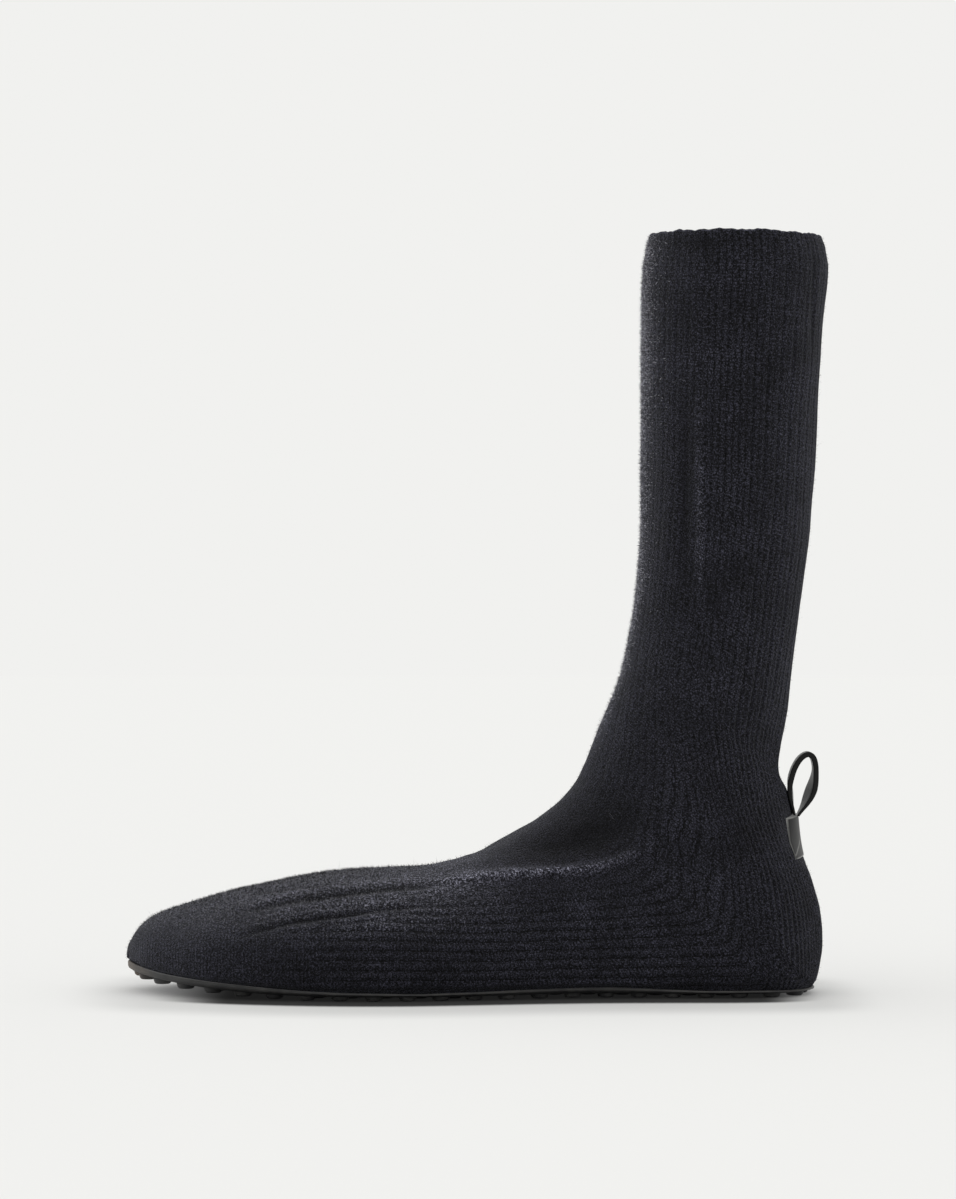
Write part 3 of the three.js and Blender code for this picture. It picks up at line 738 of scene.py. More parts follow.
def black_knit():
    """Soft blue-black yarn with painted light: painted shade in the grooves between the ribs and
    in the fold hollows, a painted highlight on the fold ridges and a painted sheen over the toe
    and the shaft's front; rows of stitches, and a speckle of loose loops.
    """
    material, tree, shader = new_material("black_knit", {
        "Roughness": 0.92,
        "Specular IOR Level": 0.18,
        "Sheen Weight": 0.1,
        "Sheen Roughness": 0.4,
        "Sheen Tint": (0.86, 0.88, 1, 1),
    })
    uv = tree.nodes.new("ShaderNodeUVMap")
    uv.uv_map = "UVMap"
    stitch_scale = (2 * RIBS, 1000 / STITCH_PITCH, 1)
    stitches = new_node(tree, "ShaderNodeMapping", {"Scale": stitch_scale})
    link(tree, uv, "UV", stitches, "Vector")
    rows = bands(tree, stitches, "Y", {"Scale": ONE_BAND, "Distortion": 2, "Detail Scale": 1.5})

    place = tree.nodes.new("ShaderNodeTexCoord")
    loops = noise(tree, place, 1700, 2)
    fibres = noise(tree, place, 3000, 2)
    tufts = noise(tree, place, 950, 2)
    blotches = noise(tree, place, 45, 3)
    dye = ramp(tree, blotches, "Fac", [(0.3, DYE_DARK), (0.75, DYE_LIGHT)])
    speckle = ramp(tree, loops, "Fac", [(0.4, 0.16), (0.64, 2.4)])
    fine_speckle = ramp(tree, fibres, "Fac", [(0.42, 0.35), (0.64, 2.0)])
    row_shade = ramp(tree, rows, "Fac", [(0.1, 0.8), (0.9, 1.2)])
    # Painted shade in the fold hollows and a painted highlight on their ridges.
    depth = ramp(tree, attribute(tree, "painted_fold_shade"), "Fac", [(0.0, 1.9), (1.0, 0.3)])
    depth.color_ramp.elements.new(0.5).color = (1, 1, 1, 1)
    # Painted highlight: the knit is painted paler, in tufts, where the third mark is high.
    sheen_tufts = ramp(tree, tufts, "Fac", [(0.43, SHEEN_TUFTS_DARK), (0.58, SHEEN_TUFTS_LIGHT)])
    shade = multiplied(tree, [
        (dye, "Color"),
        (speckle, "Color"),
        (fine_speckle, "Color"),
        (row_shade, "Color"),
        (depth, "Color"),
        (groove_shade_lines(tree, stitches, loops, ONE_BAND, 0.95), 2),
        (groove_shade_lines(tree, stitches, loops, 2 * ONE_BAND, 0.55), 2),
        (faded_in(tree, sheen_tufts, attribute(tree, "painted_sheen"), "Fac"), 2),
    ])
    link(tree, shade, 2, shader, "Base Color")
    bumps(tree, shader, [
        (rows, "Fac", 0.5, 0.2),
        (loops, "Fac", 1, 0.8),
        (fibres, "Fac", 1, 0.3),
    ])
    return material


upper, knit_points, knit_normals = knit_upper()
upper.data.materials.append(black_knit())
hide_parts("upper")
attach(upper, "root")

# Fuzz
# The yarn has a nap: short fibres stand off the whole knit, thickest along the front of the
# shaft, on the toe and at the collar, and a few long ones have worked loose. The fibres along
# the shaft's front and on the toe are paler, a painted highlight where they catch the light.
FIBRE_ROOT = 0.25  # how far each fibre starts below the surface
FIBRE_FOOT = 2.5  # how far above the sole the lowest ones grow


def fibre_spots(count, seed, density):
    """Places on the knit for fibres, and its directions there, by how dense they are."""
    random = np.random.default_rng(seed)
    steps = np.linalg.norm(np.diff(knit_points, axis=0), axis=-1)[:, :-1]
    gaps = np.linalg.norm(np.diff(knit_points, axis=1), axis=-1)[:-1]
    first = knit_points[:-1, :-1]
    area = steps * gaps * density(first)
    area *= first[..., 2] > sole_top(first[..., 0]) + FIBRE_FOOT
    chosen = random.choice(area.size, size=count, p=area.ravel() / area.sum())
    row, column = np.divmod(chosen, knit_points.shape[1] - 1)
    down, right = random.random((2, count, 1))
    spots = knit_points[row, column] * (1 - down) * (1 - right)
    spots += knit_points[row + 1, column] * down * (1 - right)
    spots += knit_points[row, column + 1] * (1 - down) * right
    spots += knit_points[row + 1, column + 1] * down * right
    return spots, knit_normals[row, column], random


def fibres(name, count, seed, density, shortest, longest, lean, thickness):
    """Many closed spikes of four faces, each leaning its own way."""
    spots, outward, random = fibre_spots(count, seed, density)
    way = outward + lean * random.normal(size=(count, 3))
    way /= np.linalg.norm(way, axis=1, keepdims=True)
    length = shortest + (longest - shortest) * random.random((count, 1)) ** 2
    side = np.cross(way, random.normal(size=(count, 3)))
    side /= np.linalg.norm(side, axis=1, keepdims=True)
    other = np.cross(way, side)
    root = spots - outward * FIBRE_ROOT
    corners = [root + way * length]
    for turn in (0, 2 * math.pi / 3, 4 * math.pi / 3):
        corners.append(root + (side * math.cos(turn) + other * math.sin(turn)) * thickness)
    grid = np.stack(corners, axis=1).reshape(-1, 3)
    places = in_frame(grid[:, 0], grid[:, 1], grid[:, 2])
    first = np.arange(count)[:, None, None] * 4
    faces = first + np.array([[0, 1, 2], [0, 2, 3], [0, 3, 1], [1, 3, 2]])
    mesh = bpy.data.meshes.new(name)
    mesh.from_pydata(places.tolist(), [], faces.reshape(-1, 3).tolist())
    fuzz = bpy.data.objects.new(name, mesh)
    bpy.context.scene.collection.objects.link(fuzz)
    bpy.ops.object.select_all(action="DESELECT")
    fuzz.select_set(True)
    bpy.context.view_layer.objects.active = fuzz
    bpy.ops.object.mode_set(mode="EDIT")
    bpy.ops.mesh.select_all(action="SELECT")
    bpy.ops.mesh.normals_make_consistent(inside=False)
    bpy.ops.object.mode_set(mode="OBJECT")
    return fuzz


def fuzz_yarn(name, grey, clumps):
    """Yarn whose fibres lie in darker and paler clumps, as shares of its grey."""
    finish = {"Roughness": 0.75, "Specular IOR Level": 0.3}
    material, tree, shader = new_material(name, finish)
    tone = noise(tree, tree.nodes.new("ShaderNodeTexCoord"), 850, 2)
    dark, light = (tuple(grey * clump * tint for tint in (1, 1, 1.12)) for clump in clumps)
    colour = ramp(tree, tone, "Fac", [(0.44, dark), (0.58, light)])
    link(tree, colour, "Color", shader, "Base Color")
    return material


def everywhere(points):
    return 0.5 + smooth_step(points[..., 0], 180, 240) + smooth_step(points[..., 2], 262, 279)


def shaft_front(points):
    """Thickest where the shaft and the instep face forwards, and fading round the sides."""
    return front_band(points) * smooth_step(points[..., 2], 75, 160)


def toe_top(points):
    return smooth_step(points[..., 2], 20, 40) * smooth_step(points[..., 0], 130, 190)


def collar_edge(points):
    return smooth_step(points[..., 2], 277.5, 280)


SOFT_CLUMPS = (0.25, 2.1)
CLEAR_CLUMPS = (0.05, 2.8)

# Each kind of fibre: its name, number, seed and density, its least and greatest length,
# its lean and thickness, and then its yarn's name, grey and clumps
FUZZ = [
    (("knit_fuzz", 40000, 21, everywhere, 0.6, 1.7, 0.75, 0.06),
     ("nap_yarn", 0.022, SOFT_CLUMPS)),
    # The front and toe yarns are paler than the rest: painted highlight.
    (("front_fuzz", 22000, 22, shaft_front, 0.6, 2, 0.75, 0.1),
     ("front_yarn_painted_highlight", 0.23, SOFT_CLUMPS)),
    (("toe_fuzz", 24000, 25, toe_top, 0.7, 1.7, 0.7, 0.12),
     ("toe_yarn_painted_highlight", 0.075, CLEAR_CLUMPS)),
    (("collar_fuzz", 6000, 23, collar_edge, 0.6, 2.2, 0.6, 0.065),
     ("collar_nap_yarn", 0.1, SOFT_CLUMPS)),
    (("loose_fibres", 170, 24, everywhere, 2.5, 6, 0.9, 0.045),
     ("loose_yarn", 0.1, SOFT_CLUMPS)),
]
for shape, yarn in FUZZ:
    fuzz = fibres(*shape)
    fuzz.data.materials.append(fuzz_yarn(*yarn))
    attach(fuzz, "root")

# Rubber sole
# A thin moulded sole of black rubber, with a low rounded rim that cups the knit and rows
# of round pebbles underneath that the shoe stands on. It is glued to the upper.
RIM_POINTS = 260
PEBBLE_TOP_RADIUS = 3.5
PEBBLE_FOOT_RADIUS = 2.6
PEBBLE_PITCH = 12.4
PEBBLE_INSET = 5.5
PEBBLE_CLEARANCE = 9.5  # between a pebble of the middle and one of the outer row
PEBBLE_SIDES = 16
PEBBLE_FLARE = 0.35  # how much wider its foot is before its edge is rounded
PEBBLE_ROUNDING = 0.8
PEBBLE_SUNK = 0.5
PEBBLE_COLUMNS = 4  # on each side of the middle
TOE_REFLECTION_REACH = 14  # how far back from the toe its edge gets a painted warm reflection
TOE_REFLECTION = (1.7, 1.33, 1.02)
RUBBER_DARK = (0.024, 0.024, 0.0256)
RUBBER_LIGHT = (0.068, 0.067, 0.065)


def sole_rings(name, outline, outward, profile):
    """A piece of rings along the sole's outline, closed at both ends. Each ring is a
    distance outwards and a height at each point."""
    rings = []
    for out, height in profile:
        rings.append(np.column_stack([outline + outward * out, height]))
    grid = np.array(rings)
    grid = np.concatenate([grid, grid[:, :1]], axis=1)
    piece = wrapped_grid(name, grid)
    close_grid()
    fill_open_rings()
    return piece


def fill_open_rings():
    """Covers the open ring at each end of the new grid with faces."""
    bpy.ops.object.mode_set(mode="EDIT")
    bpy.ops.mesh.select_mode(type="EDGE")
    bpy.ops.mesh.select_all(action="DESELECT")
    bpy.ops.mesh.select_non_manifold()
    bpy.ops.mesh.fill(use_beauty=True)
    bpy.ops.mesh.select_all(action="SELECT")
    bpy.ops.mesh.normals_make_consistent(inside=False)
    bpy.ops.object.mode_set(mode="OBJECT")


def sole_cup():
    outline, outward = sole_outline(RIM_POINTS)
    under = PEBBLE_HEIGHT + lift(outline[:, 0])
    bed = sole_top(outline[:, 0])
    top = rim_top(outline[:, 0])
    profile = [
        (-6, under),
        (-3.4, under + 0.02),
        (-2, under + 0.2),
        (-1, under + 0.55),
        (-0.35, under + 0.95),
        (-0.05, under * 0.5 + top * 0.5 - 0.1),
        (0.02, top - 0.5),
        (-0.1, top - 0.2),
        (-0.32, top - 0.05),
        (-0.6, top),
        (-0.9, top - 0.08),
        (-LIP_WIDTH, top - 0.25),
        (-LIP_WIDTH - 0.05, bed + 0.02),
        (-5, bed),
    ]
    return sole_rings("rubber_sole", outline, outward, profile)


def pebble_places():
    """A row of pebbles inside the outline, and a square pattern within that row."""
    outline, outward = sole_outline(RIM_POINTS)
    row = outline - outward * PEBBLE_INSET
    closed = np.concatenate([row, row[:1]])
    count = round(lengths_along(closed)[-1] / PEBBLE_PITCH)
    edge = evenly_spaced(closed, count, closed=True)
    places = [tuple(spot) for spot in edge]
    for along in range(1, math.ceil(FOOT_LENGTH / PEBBLE_PITCH)):
        for across in range(-PEBBLE_COLUMNS, PEBBLE_COLUMNS + 1):
            spot = np.array([along * PEBBLE_PITCH, across * PEBBLE_PITCH])
            nearest = np.argmin(np.linalg.norm(outline - spot, axis=1))
            inside = (spot - outline[nearest]) @ outward[nearest] < 0
            clear = np.linalg.norm(edge - spot, axis=1).min() > PEBBLE_CLEARANCE
            if inside and clear:
                places.append(tuple(spot))
    return places


def rubber_pebble():
    """One pebble with its foot on the floor: a short round stud with a soft lower edge."""
    height = (PEBBLE_HEIGHT + PEBBLE_SUNK) * MM
    bpy.ops.mesh.primitive_cone_add(
        vertices=PEBBLE_SIDES,
        radius1=(PEBBLE_FOOT_RADIUS + PEBBLE_FLARE) * MM,
        radius2=PEBBLE_TOP_RADIUS * MM,
        depth=height,
        location=(0, 0, height / 2),
    )
    stud = bpy.context.object
    bpy.ops.object.transform_apply(location=True)
    at_foot = [vertex.co.z < 0.01 * MM for vertex in stud.data.vertices]
    for face in stud.data.polygons:
        face.select = False
    for edge in stud.data.edges:
        edge.select = all(at_foot[index] for index in edge.vertices)
    for vertex, low in zip(stud.data.vertices, at_foot):
        vertex.select = low
    bpy.ops.object.mode_set(mode="EDIT")
    bpy.ops.mesh.select_mode(type="EDGE")
    bpy.ops.mesh.bevel(offset=PEBBLE_ROUNDING * MM, segments=3, affect="EDGES")
    bpy.ops.object.mode_set(mode="OBJECT")
    bpy.ops.object.shade_smooth_by_angle(angle=math.radians(50))
    # Marks the pebbles, which the rubber's colour paints a little lighter: a painted highlight.
    mark(stud, "painted_pebble_light", np.ones(len(stud.data.vertices)))
    return stud


def pebbled_sole():
    cup = sole_cup()
    stud = rubber_pebble()
    copies = []
    for ahead, across in pebble_places():
        copy = stud.copy()
        copy.data = stud.data.copy()
        spot = in_frame(ahead, across, lift(ahead))
        points = np.empty(len(copy.data.vertices) * 3)
        copy.data.vertices.foreach_get("co", points)
        copy.data.vertices.foreach_set("co", (points.reshape(-1, 3) + spot).ravel())
        bpy.context.scene.collection.objects.link(copy)
        copies.append(copy)
    bpy.data.objects.remove(stud)
    bpy.ops.object.select_all(action="DESELECT")
    for copy in copies:
        copy.select_set(True)
    cup.select_set(True)
    bpy.context.view_layer.objects.active = cup
    bpy.ops.object.join()
    return cup


def roughness(tree, shader, texture, low, high):
    """Roughness between two values, as a texture gives it."""
    gloss = new_node(tree, "ShaderNodeMapRange", {"To Min": low, "To Max": high})
    link(tree, texture, "Fac", gloss, "Value")
    link(tree, gloss, "Result", shader, "Roughness")


def sole_rubber():
    """Satin black rubber, with fine moulded grain and faint scuffs; its pebbles are painted a
    fifth lighter, a painted highlight, and its edge at the toe gets a painted warm reflection.
    """
    material, tree, shader = new_material("sole_rubber", {"Specular IOR Level": 0.4})
    place = tree.nodes.new("ShaderNodeTexCoord")
    grain = noise(tree, place, 2600, 3)
    scuffs = noise(tree, place, 160, 5)
    colour = ramp(tree, scuffs, "Fac", [(0.35, RUBBER_DARK), (0.8, RUBBER_LIGHT)])
    # Painted highlight: the pebbles are a fifth lighter than the rest of the rubber.
    pebble_highlight = ramp(tree, attribute(tree, "painted_pebble_light"), "Fac", [(0.0, 1.0), (1.0, 1.2)])
    apart = tree.nodes.new("ShaderNodeSeparateXYZ")
    link(tree, place, "Object", apart, "Vector")
    # Painted reflection: the rubber is painted warmer and lighter towards the toe.
    toe_reach = {"From Min": upper_low.x, "From Max": upper_low.x + TOE_REFLECTION_REACH * MM}
    from_toe = new_node(tree, "ShaderNodeMapRange", toe_reach)
    link(tree, apart, "X", from_toe, "Value")
    toe_reflection = ramp(tree, from_toe, "Result", [(0.2, TOE_REFLECTION), (0.9, (1, 1, 1))])
    shade = multiplied(tree, [(colour, "Color"), (pebble_highlight, "Color"), (toe_reflection, "Color")])
    link(tree, shade, 2, shader, "Base Color")
    roughness(tree, shader, scuffs, 0.38, 0.62)
    bumps(tree, shader, [(grain, "Fac", 0.3, 0.05)])
    return material


sole = pebbled_sole()
sole.data.materials.append(sole_rubber())
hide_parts("outsole")
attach(sole, "root")

# Footbed
# A soft black insole, a few millimetres thick with a rounded edge, lies loose on the
# sole inside the knit. It only shows from above, down the shaft.
INSOLE = 2.6
INSOLE_INSET = LIP_WIDTH + GAP + KNIT + GAP


def footbed():
    outline, outward = sole_outline(180)
    under = sole_top(outline[:, 0]) + GAP
    profile = [
        (-INSOLE_INSET - 4, under),
        (-INSOLE_INSET - 0.6, under),
        (-INSOLE_INSET - 0.1, under + 0.4),
        (-INSOLE_INSET, under + INSOLE / 2),
        (-INSOLE_INSET - 0.3, under + INSOLE - 0.6),
        (-INSOLE_INSET - 1, under + INSOLE - 0.15),
        (-INSOLE_INSET - 2, under + INSOLE),
        (-INSOLE_INSET - 6, under + INSOLE - 0.2),
    ]
    return sole_rings("footbed", outline, outward, profile)


def brushed_footbed():
    finish = {"Roughness": 0.9, "Sheen Weight": 0.15}
    material, tree, shader = new_material("brushed_footbed", finish)
    weave = noise(tree, tree.nodes.new("ShaderNodeTexCoord"), 900, 4)
    colour = ramp(tree, weave, "Fac", [(0.0, (0.012, 0.012, 0.014)), (1.0, (0.05, 0.05, 0.055))])
    link(tree, colour, "Color", shader, "Base Color")
    bumps(tree, shader, [(weave, "Fac", 0.5, 0.3)])
    return material


insole = footbed()
insole.data.materials.append(brushed_footbed())
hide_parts("insole")
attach(insole, "root")

# Heel tab
# A stiff patch of smooth grey-black leather is stitched flat across the back of the heel.
# Its upper edge stands proud, over the two ends of the pull loop, and its cut edges are pale.
TAB_LOW = 50.2
TAB_HIGH = 65.3
TAB_SIDE_AHEAD = (12.3, 13.9)  # where its side edges lie ahead of the heel, low and high
TAB_WIDEST = 14.5
TAB_THICK = 0.55  # how far it stands out of the knit
TAB_PROUD = 2.2  # and over the ends of the loop
TAB_BED = 0.8  # how deep it is let into the knit
TAB_ROUNDING = 0.3
TAB_CURVE = 1.3  # how much higher its edges are at the middle
TAB_SEAM_LOW = 51.4
TAB_SEAM_RISE = 8
TAB_STATIONS = 47
SLOPE_STEP = 0.6  # the heel's slope is taken this far to each side
LEATHER_FACE = 0.3  # the value of "pale" on its plain face
FACE_COLOUR = (0.013, 0.013, 0.0134, 1)
EDGE_COLOUR = (0.24, 0.24, 0.235)
# Near black: painted shade on the loop's narrow edges.
PAINTED_SHADE_COLOUR = (0.003, 0.003, 0.003)
HEEL_PLACES = np.linspace(18, 23.4, 90)  # counted in rows of the sections


def heel_back(across, up):
    """How far ahead of the heel the knit's back lies, at one place across and some heights."""
    ahead_there = []
    up_there = []
    for place, section in zip(HEEL_PLACES, blend_rows(SECTIONS, HEEL_PLACES)):
        side = section[5] if across < 0 else section[4]
        ahead, reach, height = half_section(section, place, side)
        below = slice(0, len(reach) // 2 + 1)
        ahead_there.append(np.interp(abs(across), np.abs(reach[below]), ahead[below]))
        up_there.append(np.interp(abs(across), np.abs(reach[below]), height[below]))
    return np.interp(up, up_there, ahead_there)


TAB_SPOTS = np.linspace(-20, 20, 81)
TAB_UPS = np.linspace(TAB_LOW - 1, TAB_HIGH + 2, 40)
heel_table = np.array([heel_back(across, TAB_UPS) for across in TAB_SPOTS])


def heel_at(across, up):
    """How far ahead the knit's back lies at places across and up."""
    column = (across - TAB_SPOTS[0]) / (TAB_SPOTS[1] - TAB_SPOTS[0])
    row = (up - TAB_UPS[0]) / (TAB_UPS[1] - TAB_UPS[0])
    column = np.clip(column, 0, len(TAB_SPOTS) - 1.001)
    row = np.clip(row, 0, len(TAB_UPS) - 1.001)
    left = column.astype(int)
    low = row.astype(int)
    near, far = (
        heel_table[side, low] * (low + 1 - row) + heel_table[side, low + 1] * (row - low)
        for side in (left, left + 1)
    )
    return near + (far - near) * (column - left)


def tab_reach(up):
    """How far the tab reaches to each side of its middle at a height."""
    wanted = np.interp(up, [TAB_LOW, TAB_HIGH], TAB_SIDE_AHEAD)
    outer = TAB_SPOTS[TAB_SPOTS <= 0][::-1]
    ahead = heel_at(outer, np.full(len(outer), up))
    return min(TAB_WIDEST, np.interp(wanted, ahead, -outer)) + TAB_MIDDLE


def closed_ends(rows):
    """Rows of points, with one more at each end that is drawn to a point."""
    rows = np.array(rows)
    ends = [np.broadcast_to(rows[end][:-1].mean(axis=0), rows[end].shape) for end in (0, -1)]
    return np.concatenate([ends[:1], rows, ends[1:]])


def leather_tab():
    """A sheet of leather wrapped round the heel: each row goes round its foot, outer face,
    top and inner face. The value "pale" marks its cut edges and a seam."""
    face_up = np.linspace(TAB_LOW + TAB_ROUNDING, TAB_HIGH - TAB_ROUNDING, 42)
    bed_up = np.linspace(TAB_HIGH, TAB_LOW, 8)
    foot_up = [TAB_LOW, TAB_LOW + 0.05]
    top_up = [TAB_HIGH - 0.05, TAB_HIGH]
    flat_up = np.concatenate([foot_up, face_up, top_up, bed_up])
    bed = len(flat_up) - len(bed_up)
    reach = np.array([tab_reach(up) for up in flat_up])
    height = (flat_up - TAB_LOW) / (TAB_HIGH - TAB_LOW)
    rows = []
    marks = []
    for station in np.linspace(-1, 1, TAB_STATIONS):
        ring_up = flat_up + TAB_CURVE * (1 - abs(station))
        across = TAB_MIDDLE + station * reach
        inner = heel_at(across + SLOPE_STEP, ring_up)
        lean = (inner - heel_at(across - SLOPE_STEP, ring_up)) / (2 * SLOPE_STEP)
        flatness = np.sqrt(1 + lean**2)
        proud = TAB_THICK + (TAB_PROUD - TAB_THICK) * height * (1 - station**2) ** 0.7
        proud[[0, bed - 1]] -= TAB_ROUNDING
        if abs(station) == 1:
            proud -= 0.25
        proud[bed:] = -TAB_BED
        ring = np.stack([
            heel_at(across, ring_up) - proud / flatness,
            across + proud * lean / flatness,
            ring_up,
        ], axis=-1)
        rows.append(np.concatenate([ring, ring[:1]]))
        side_edge = smooth_step(abs(station), 0.94, 1)
        long_edge = smooth_step(np.abs(height - 0.5), 0.46, 0.49)
        from_seam = np.abs(ring_up - TAB_SEAM_LOW - TAB_SEAM_RISE * (1 - abs(station)))
        seam = 0.75 * (1 - smooth_step(from_seam, 0.15, 0.6))
        pale = np.maximum(np.maximum(side_edge, long_edge), np.maximum(seam, LEATHER_FACE))
        marks.append(np.append(pale, pale[0]))
    tab = wrapped_grid("leather_tab", closed_ends(rows))
    mark(tab, "pale", np.array(marks[:1] + marks + marks[-1:]))
    close_grid()
    return tab


def black_leather():
    """Smooth leather with rubbed wear and a fine grain: dull black with a soft grey shine."""
    material, tree, shader = new_material("black_leather", {
        "Specular IOR Level": 0.16,
        "Coat Weight": 0.05,
        "Coat Roughness": 0.35,
    })
    place = tree.nodes.new("ShaderNodeTexCoord")
    grain = new_node(tree, "ShaderNodeTexVoronoi", {"Scale": 1900})
    link(tree, place, "Object", grain, "Vector")
    wear = noise(tree, place, 240, 5)
    rub = ramp(tree, wear, "Fac", [(0.3, 0.7), (0.8, 1.5)])
    pale = attribute(tree, "pale")
    # At 0 the strap's narrow edges take the near-black painted shade.
    colour = ramp(tree, pale, "Fac", [(0.0, PAINTED_SHADE_COLOUR), (1.0, EDGE_COLOUR)])
    colour.color_ramp.elements.new(LEATHER_FACE).color = FACE_COLOUR
    shade = multiplied(tree, [(colour, "Color"), (rub, "Color")])
    link(tree, shade, 2, shader, "Base Color")
    roughness(tree, shader, wear, 0.32, 0.55)
    bumps(tree, shader, [(grain, "Distance", 0.35, 0.08)])
    return material


leather = black_leather()
tab = leather_tab()
tab.data.materials.append(leather)
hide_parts("heel_tab")
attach(tab, "root")

# Pull loop
# A flat strap of the same leather is bent into an upright loop. Its ends are pressed
# together under the tab, and its free arm twists a little and shows its inner face.
LOOP_LINE = [
    (10.1, 65.8), (10.75, 69), (11.45, 73.5), (11.6, 78), (10.3, 83), (7.9, 87),
    (5.1, 88.6), (3, 87), (2.3, 82.5), (3.4, 76.5), (5.8, 70.8), (8.8, 65.8),
]
LOOP_WIDTH = 9
LOOP_THICKNESS = 2
LOOP_END_THICKNESS = 0.8
LOOP_MIDDLE = -1.5
LOOP_STATIONS = 90
LOOP_PINCH = 0.22  # share of its length over which each end thins
HEEL_ARM = 0.3  # shares of its length where its two arms end and begin
FREE_ARM = 0.62
FREE_ARM_TWIST = -0.26
HEEL_ARM_TWIST = -0.12


def loop_route():
    """Evenly spaced points along the middle of the strap, and its directions there."""
    line = np.array(LOOP_LINE, float)
    dense = blend_rows(line, np.linspace(0, len(line) - 1, 400))
    route = evenly_spaced(dense, LOOP_STATIONS + 1, closed=False)
    along = np.gradient(route, axis=0)
    return route, along / np.linalg.norm(along, axis=1, keepdims=True)


def arm_twist(share, twist):
    """Turn of an arm of the loop: none at its ends and most in its middle."""
    return twist * math.sin(math.pi * min(1, max(0, share))) ** 2


def strap_edge(thickness):
    """Outline of the strap's cross-section, as millimetres across and deep."""
    corners = []
    rounding = min(0.45, thickness * 0.4)
    half_width = LOOP_WIDTH / 2 - rounding
    half_depth = thickness / 2 - rounding
    for quarter, (w, d) in enumerate(((1, 1), (-1, 1), (-1, -1), (1, -1))):
        for step in range(5):
            turn = math.pi / 2 * (quarter + step / 4)
            corners.append((
                w * half_width + rounding * math.cos(turn),
                d * half_depth + rounding * math.sin(turn),
            ))
        if w == d:
            for share in (0.65, 0.3, -0.3, -0.65):
                corners.append((w * half_width * share, d * (half_depth + rounding)))
    return corners + corners[:1]


def pull_loop():
    rows = []
    for index, ((ahead, up), (step_ahead, step_up)) in enumerate(zip(*loop_route())):
        share = index / LOOP_STATIONS
        fullness = min(1, min(share, 1 - share) / LOOP_PINCH)
        thickness = LOOP_END_THICKNESS + (LOOP_THICKNESS - LOOP_END_THICKNESS) * fullness
        twist = arm_twist((share - FREE_ARM) / (1 - FREE_ARM), FREE_ARM_TWIST)
        twist += arm_twist((HEEL_ARM - share) / HEEL_ARM, HEEL_ARM_TWIST)
        outward = np.array([step_up, 0, -step_ahead])
        sideways = np.array([0, 1, 0])
        width_way = sideways * math.cos(twist) + outward * math.sin(twist)
        depth_way = outward * math.cos(twist) - sideways * math.sin(twist)
        middle = np.array([ahead, LOOP_MIDDLE, up])
        rows.append([middle + width_way * w + depth_way * d for w, d in strap_edge(thickness)])
    grid = closed_ends(rows)
    strap = wrapped_grid("leather_loop", grid)
    # Painted light on the strap: the middle of each flat face is painted a little paler, a painted
    # highlight, and its narrow edges take the near-black painted shade colour.
    on_face = np.array([abs(w) < LOOP_WIDTH * 0.4 for w, _ in strap_edge(LOOP_THICKNESS)])
    mark(strap, "pale", np.broadcast_to(on_face * LEATHER_FACE * 1.2, grid.shape[:2]))
    close_grid()
    return strap


loop = pull_loop()
loop.data.materials.append(leather)
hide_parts("pull_loop")
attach(loop, "root")

# Floor
# The shoe stands on plain pale paper. Its shadow is painted into the paper's colour: a close,
# dark painted shadow falls a finger's width towards the camera and ends in a paler painted
# half shadow, as if the light came a little from behind.
FLOOR_REACH = 7
FLOOR_CELLS = 260
FLOOR_FINE = (0.165, 0.13)  # the fine cells reach this far along and across
FINE_SHARE = 0.85  # share of the cells that are fine
FLOOR_COLOUR = (0.755, 0.755, 0.75)
SHADOW_FALLS = np.linspace(0, 13, 6)  # towards the camera
CORE_SOFTNESS = 8.5
HALO_START, HALO_END = 22, 60
CORE_DEPTH = 0.93
HALO_DEPTH = 0.2
CORE_HEEL, CORE_TOE = (-2, 24), (218, 252)  # where each fades, ahead of the heel
HALO_HEEL, HALO_TOE = (-22, 6), (240, 285)


def spread(values, fine):
    """Even places from -1 to 1 made fine near the middle and coarse far out."""
    size = np.abs(values)
    near = np.minimum(size, FINE_SHARE) / FINE_SHARE
    far = np.clip((size - FINE_SHARE) / (1 - FINE_SHARE), 0, 1)
    return np.sign(values) * (fine * near + (FLOOR_REACH - fine) * far**3)


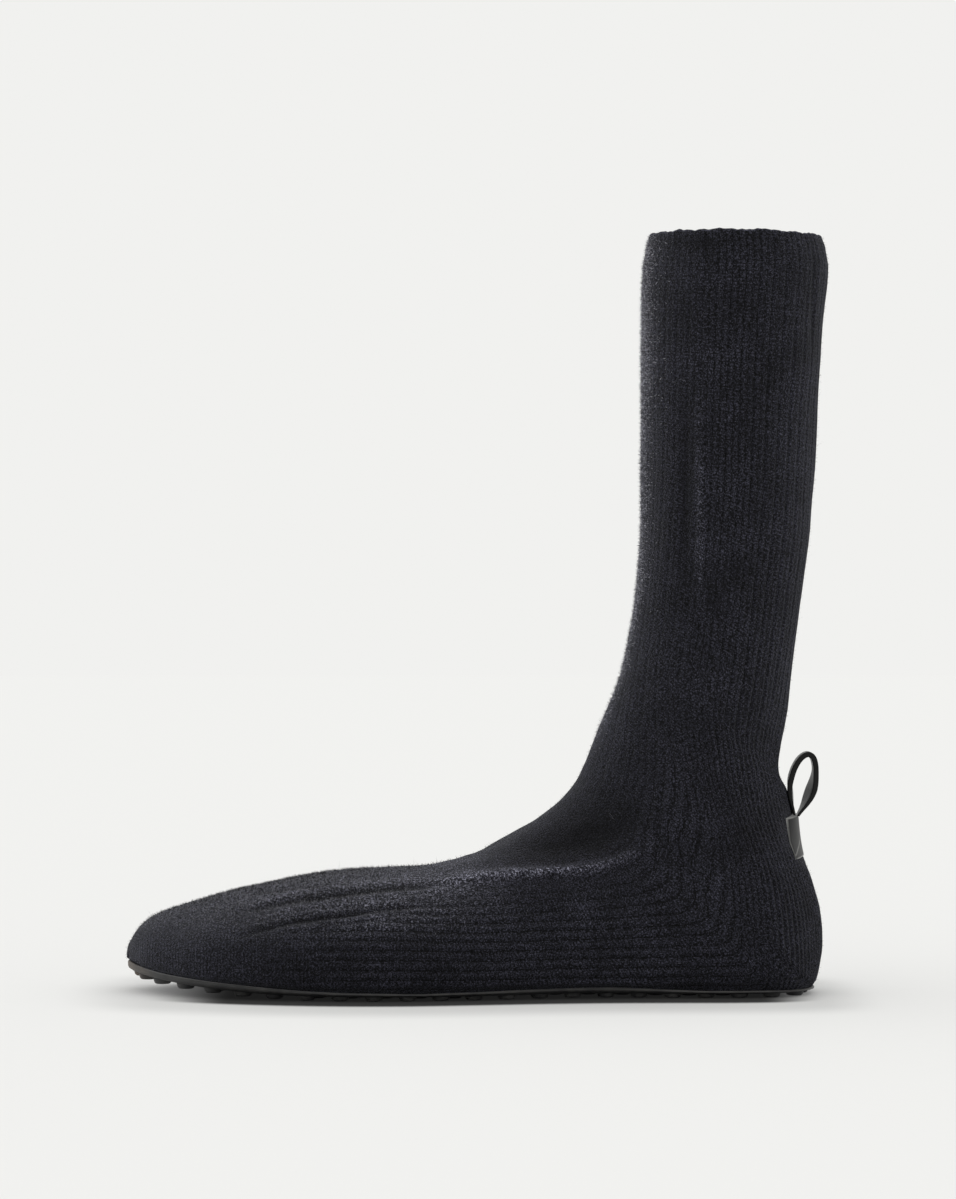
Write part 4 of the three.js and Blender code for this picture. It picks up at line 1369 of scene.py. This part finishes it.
def shadow_on_floor(ahead, across):
    """How much light the painted shadow leaves at each place on the floor, from 0 to 1."""
    away = np.full(ahead.shape, 1000.0)
    near = np.flatnonzero((np.abs(across) < 125) & (np.abs(ahead - FOOT_LENGTH / 2) < 190))
    outline, outward = sole_outline(240)
    for chunk in np.array_split(near, 12):
        for fall in SHADOW_FALLS:
            apart = np.stack([ahead[chunk], across[chunk] + fall], axis=-1)[:, None] - outline
            squares = np.sum(apart * apart, axis=-1)
            nearest = np.argmin(squares, axis=1)
            rows = np.arange(len(chunk))
            side = np.sign(np.sum(apart[rows, nearest] * outward[nearest], axis=-1))
            away[chunk] = np.minimum(away[chunk], side * np.sqrt(squares[rows, nearest]))
    core = 1 - smooth_step(away, 0, CORE_SOFTNESS)
    core *= smooth_step(ahead, *CORE_HEEL) * (1 - smooth_step(ahead, *CORE_TOE))
    halo = 1 - smooth_step(away, HALO_START, HALO_END)
    halo *= smooth_step(ahead, *HALO_HEEL) * (1 - smooth_step(ahead, *HALO_TOE))
    return (1 - CORE_DEPTH * core) * (1 - HALO_DEPTH * halo)


def paper_floor():
    bpy.ops.mesh.primitive_grid_add(x_subdivisions=FLOOR_CELLS, y_subdivisions=FLOOR_CELLS, size=2)
    floor = bpy.context.object
    floor.name = "studio_floor"
    places = np.empty(len(floor.data.vertices) * 3)
    floor.data.vertices.foreach_get("co", places)
    places = places.reshape(-1, 3)
    for axis in (0, 1):
        places[:, axis] = spread(places[:, axis], FLOOR_FINE[axis])
    floor.data.vertices.foreach_set("co", places.ravel())
    ahead = (HEEL_X - places[:, 0]) / MM
    across = (places[:, 1] - MIDDLE_Y) / MM
    mark(floor, "light", shadow_on_floor(ahead, across))
    return floor


def floor_paper():
    finish = {"Roughness": 0.9, "Specular IOR Level": 0}
    material, tree, shader = new_material("floor_paper", finish)
    paper = ramp(tree, attribute(tree, "light"), "Fac", [(0.0, 0.0), (1.0, FLOOR_COLOUR)])
    link(tree, paper, "Color", shader, "Base Color")
    return material


floor = paper_floor()
floor.data.materials.append(floor_paper())
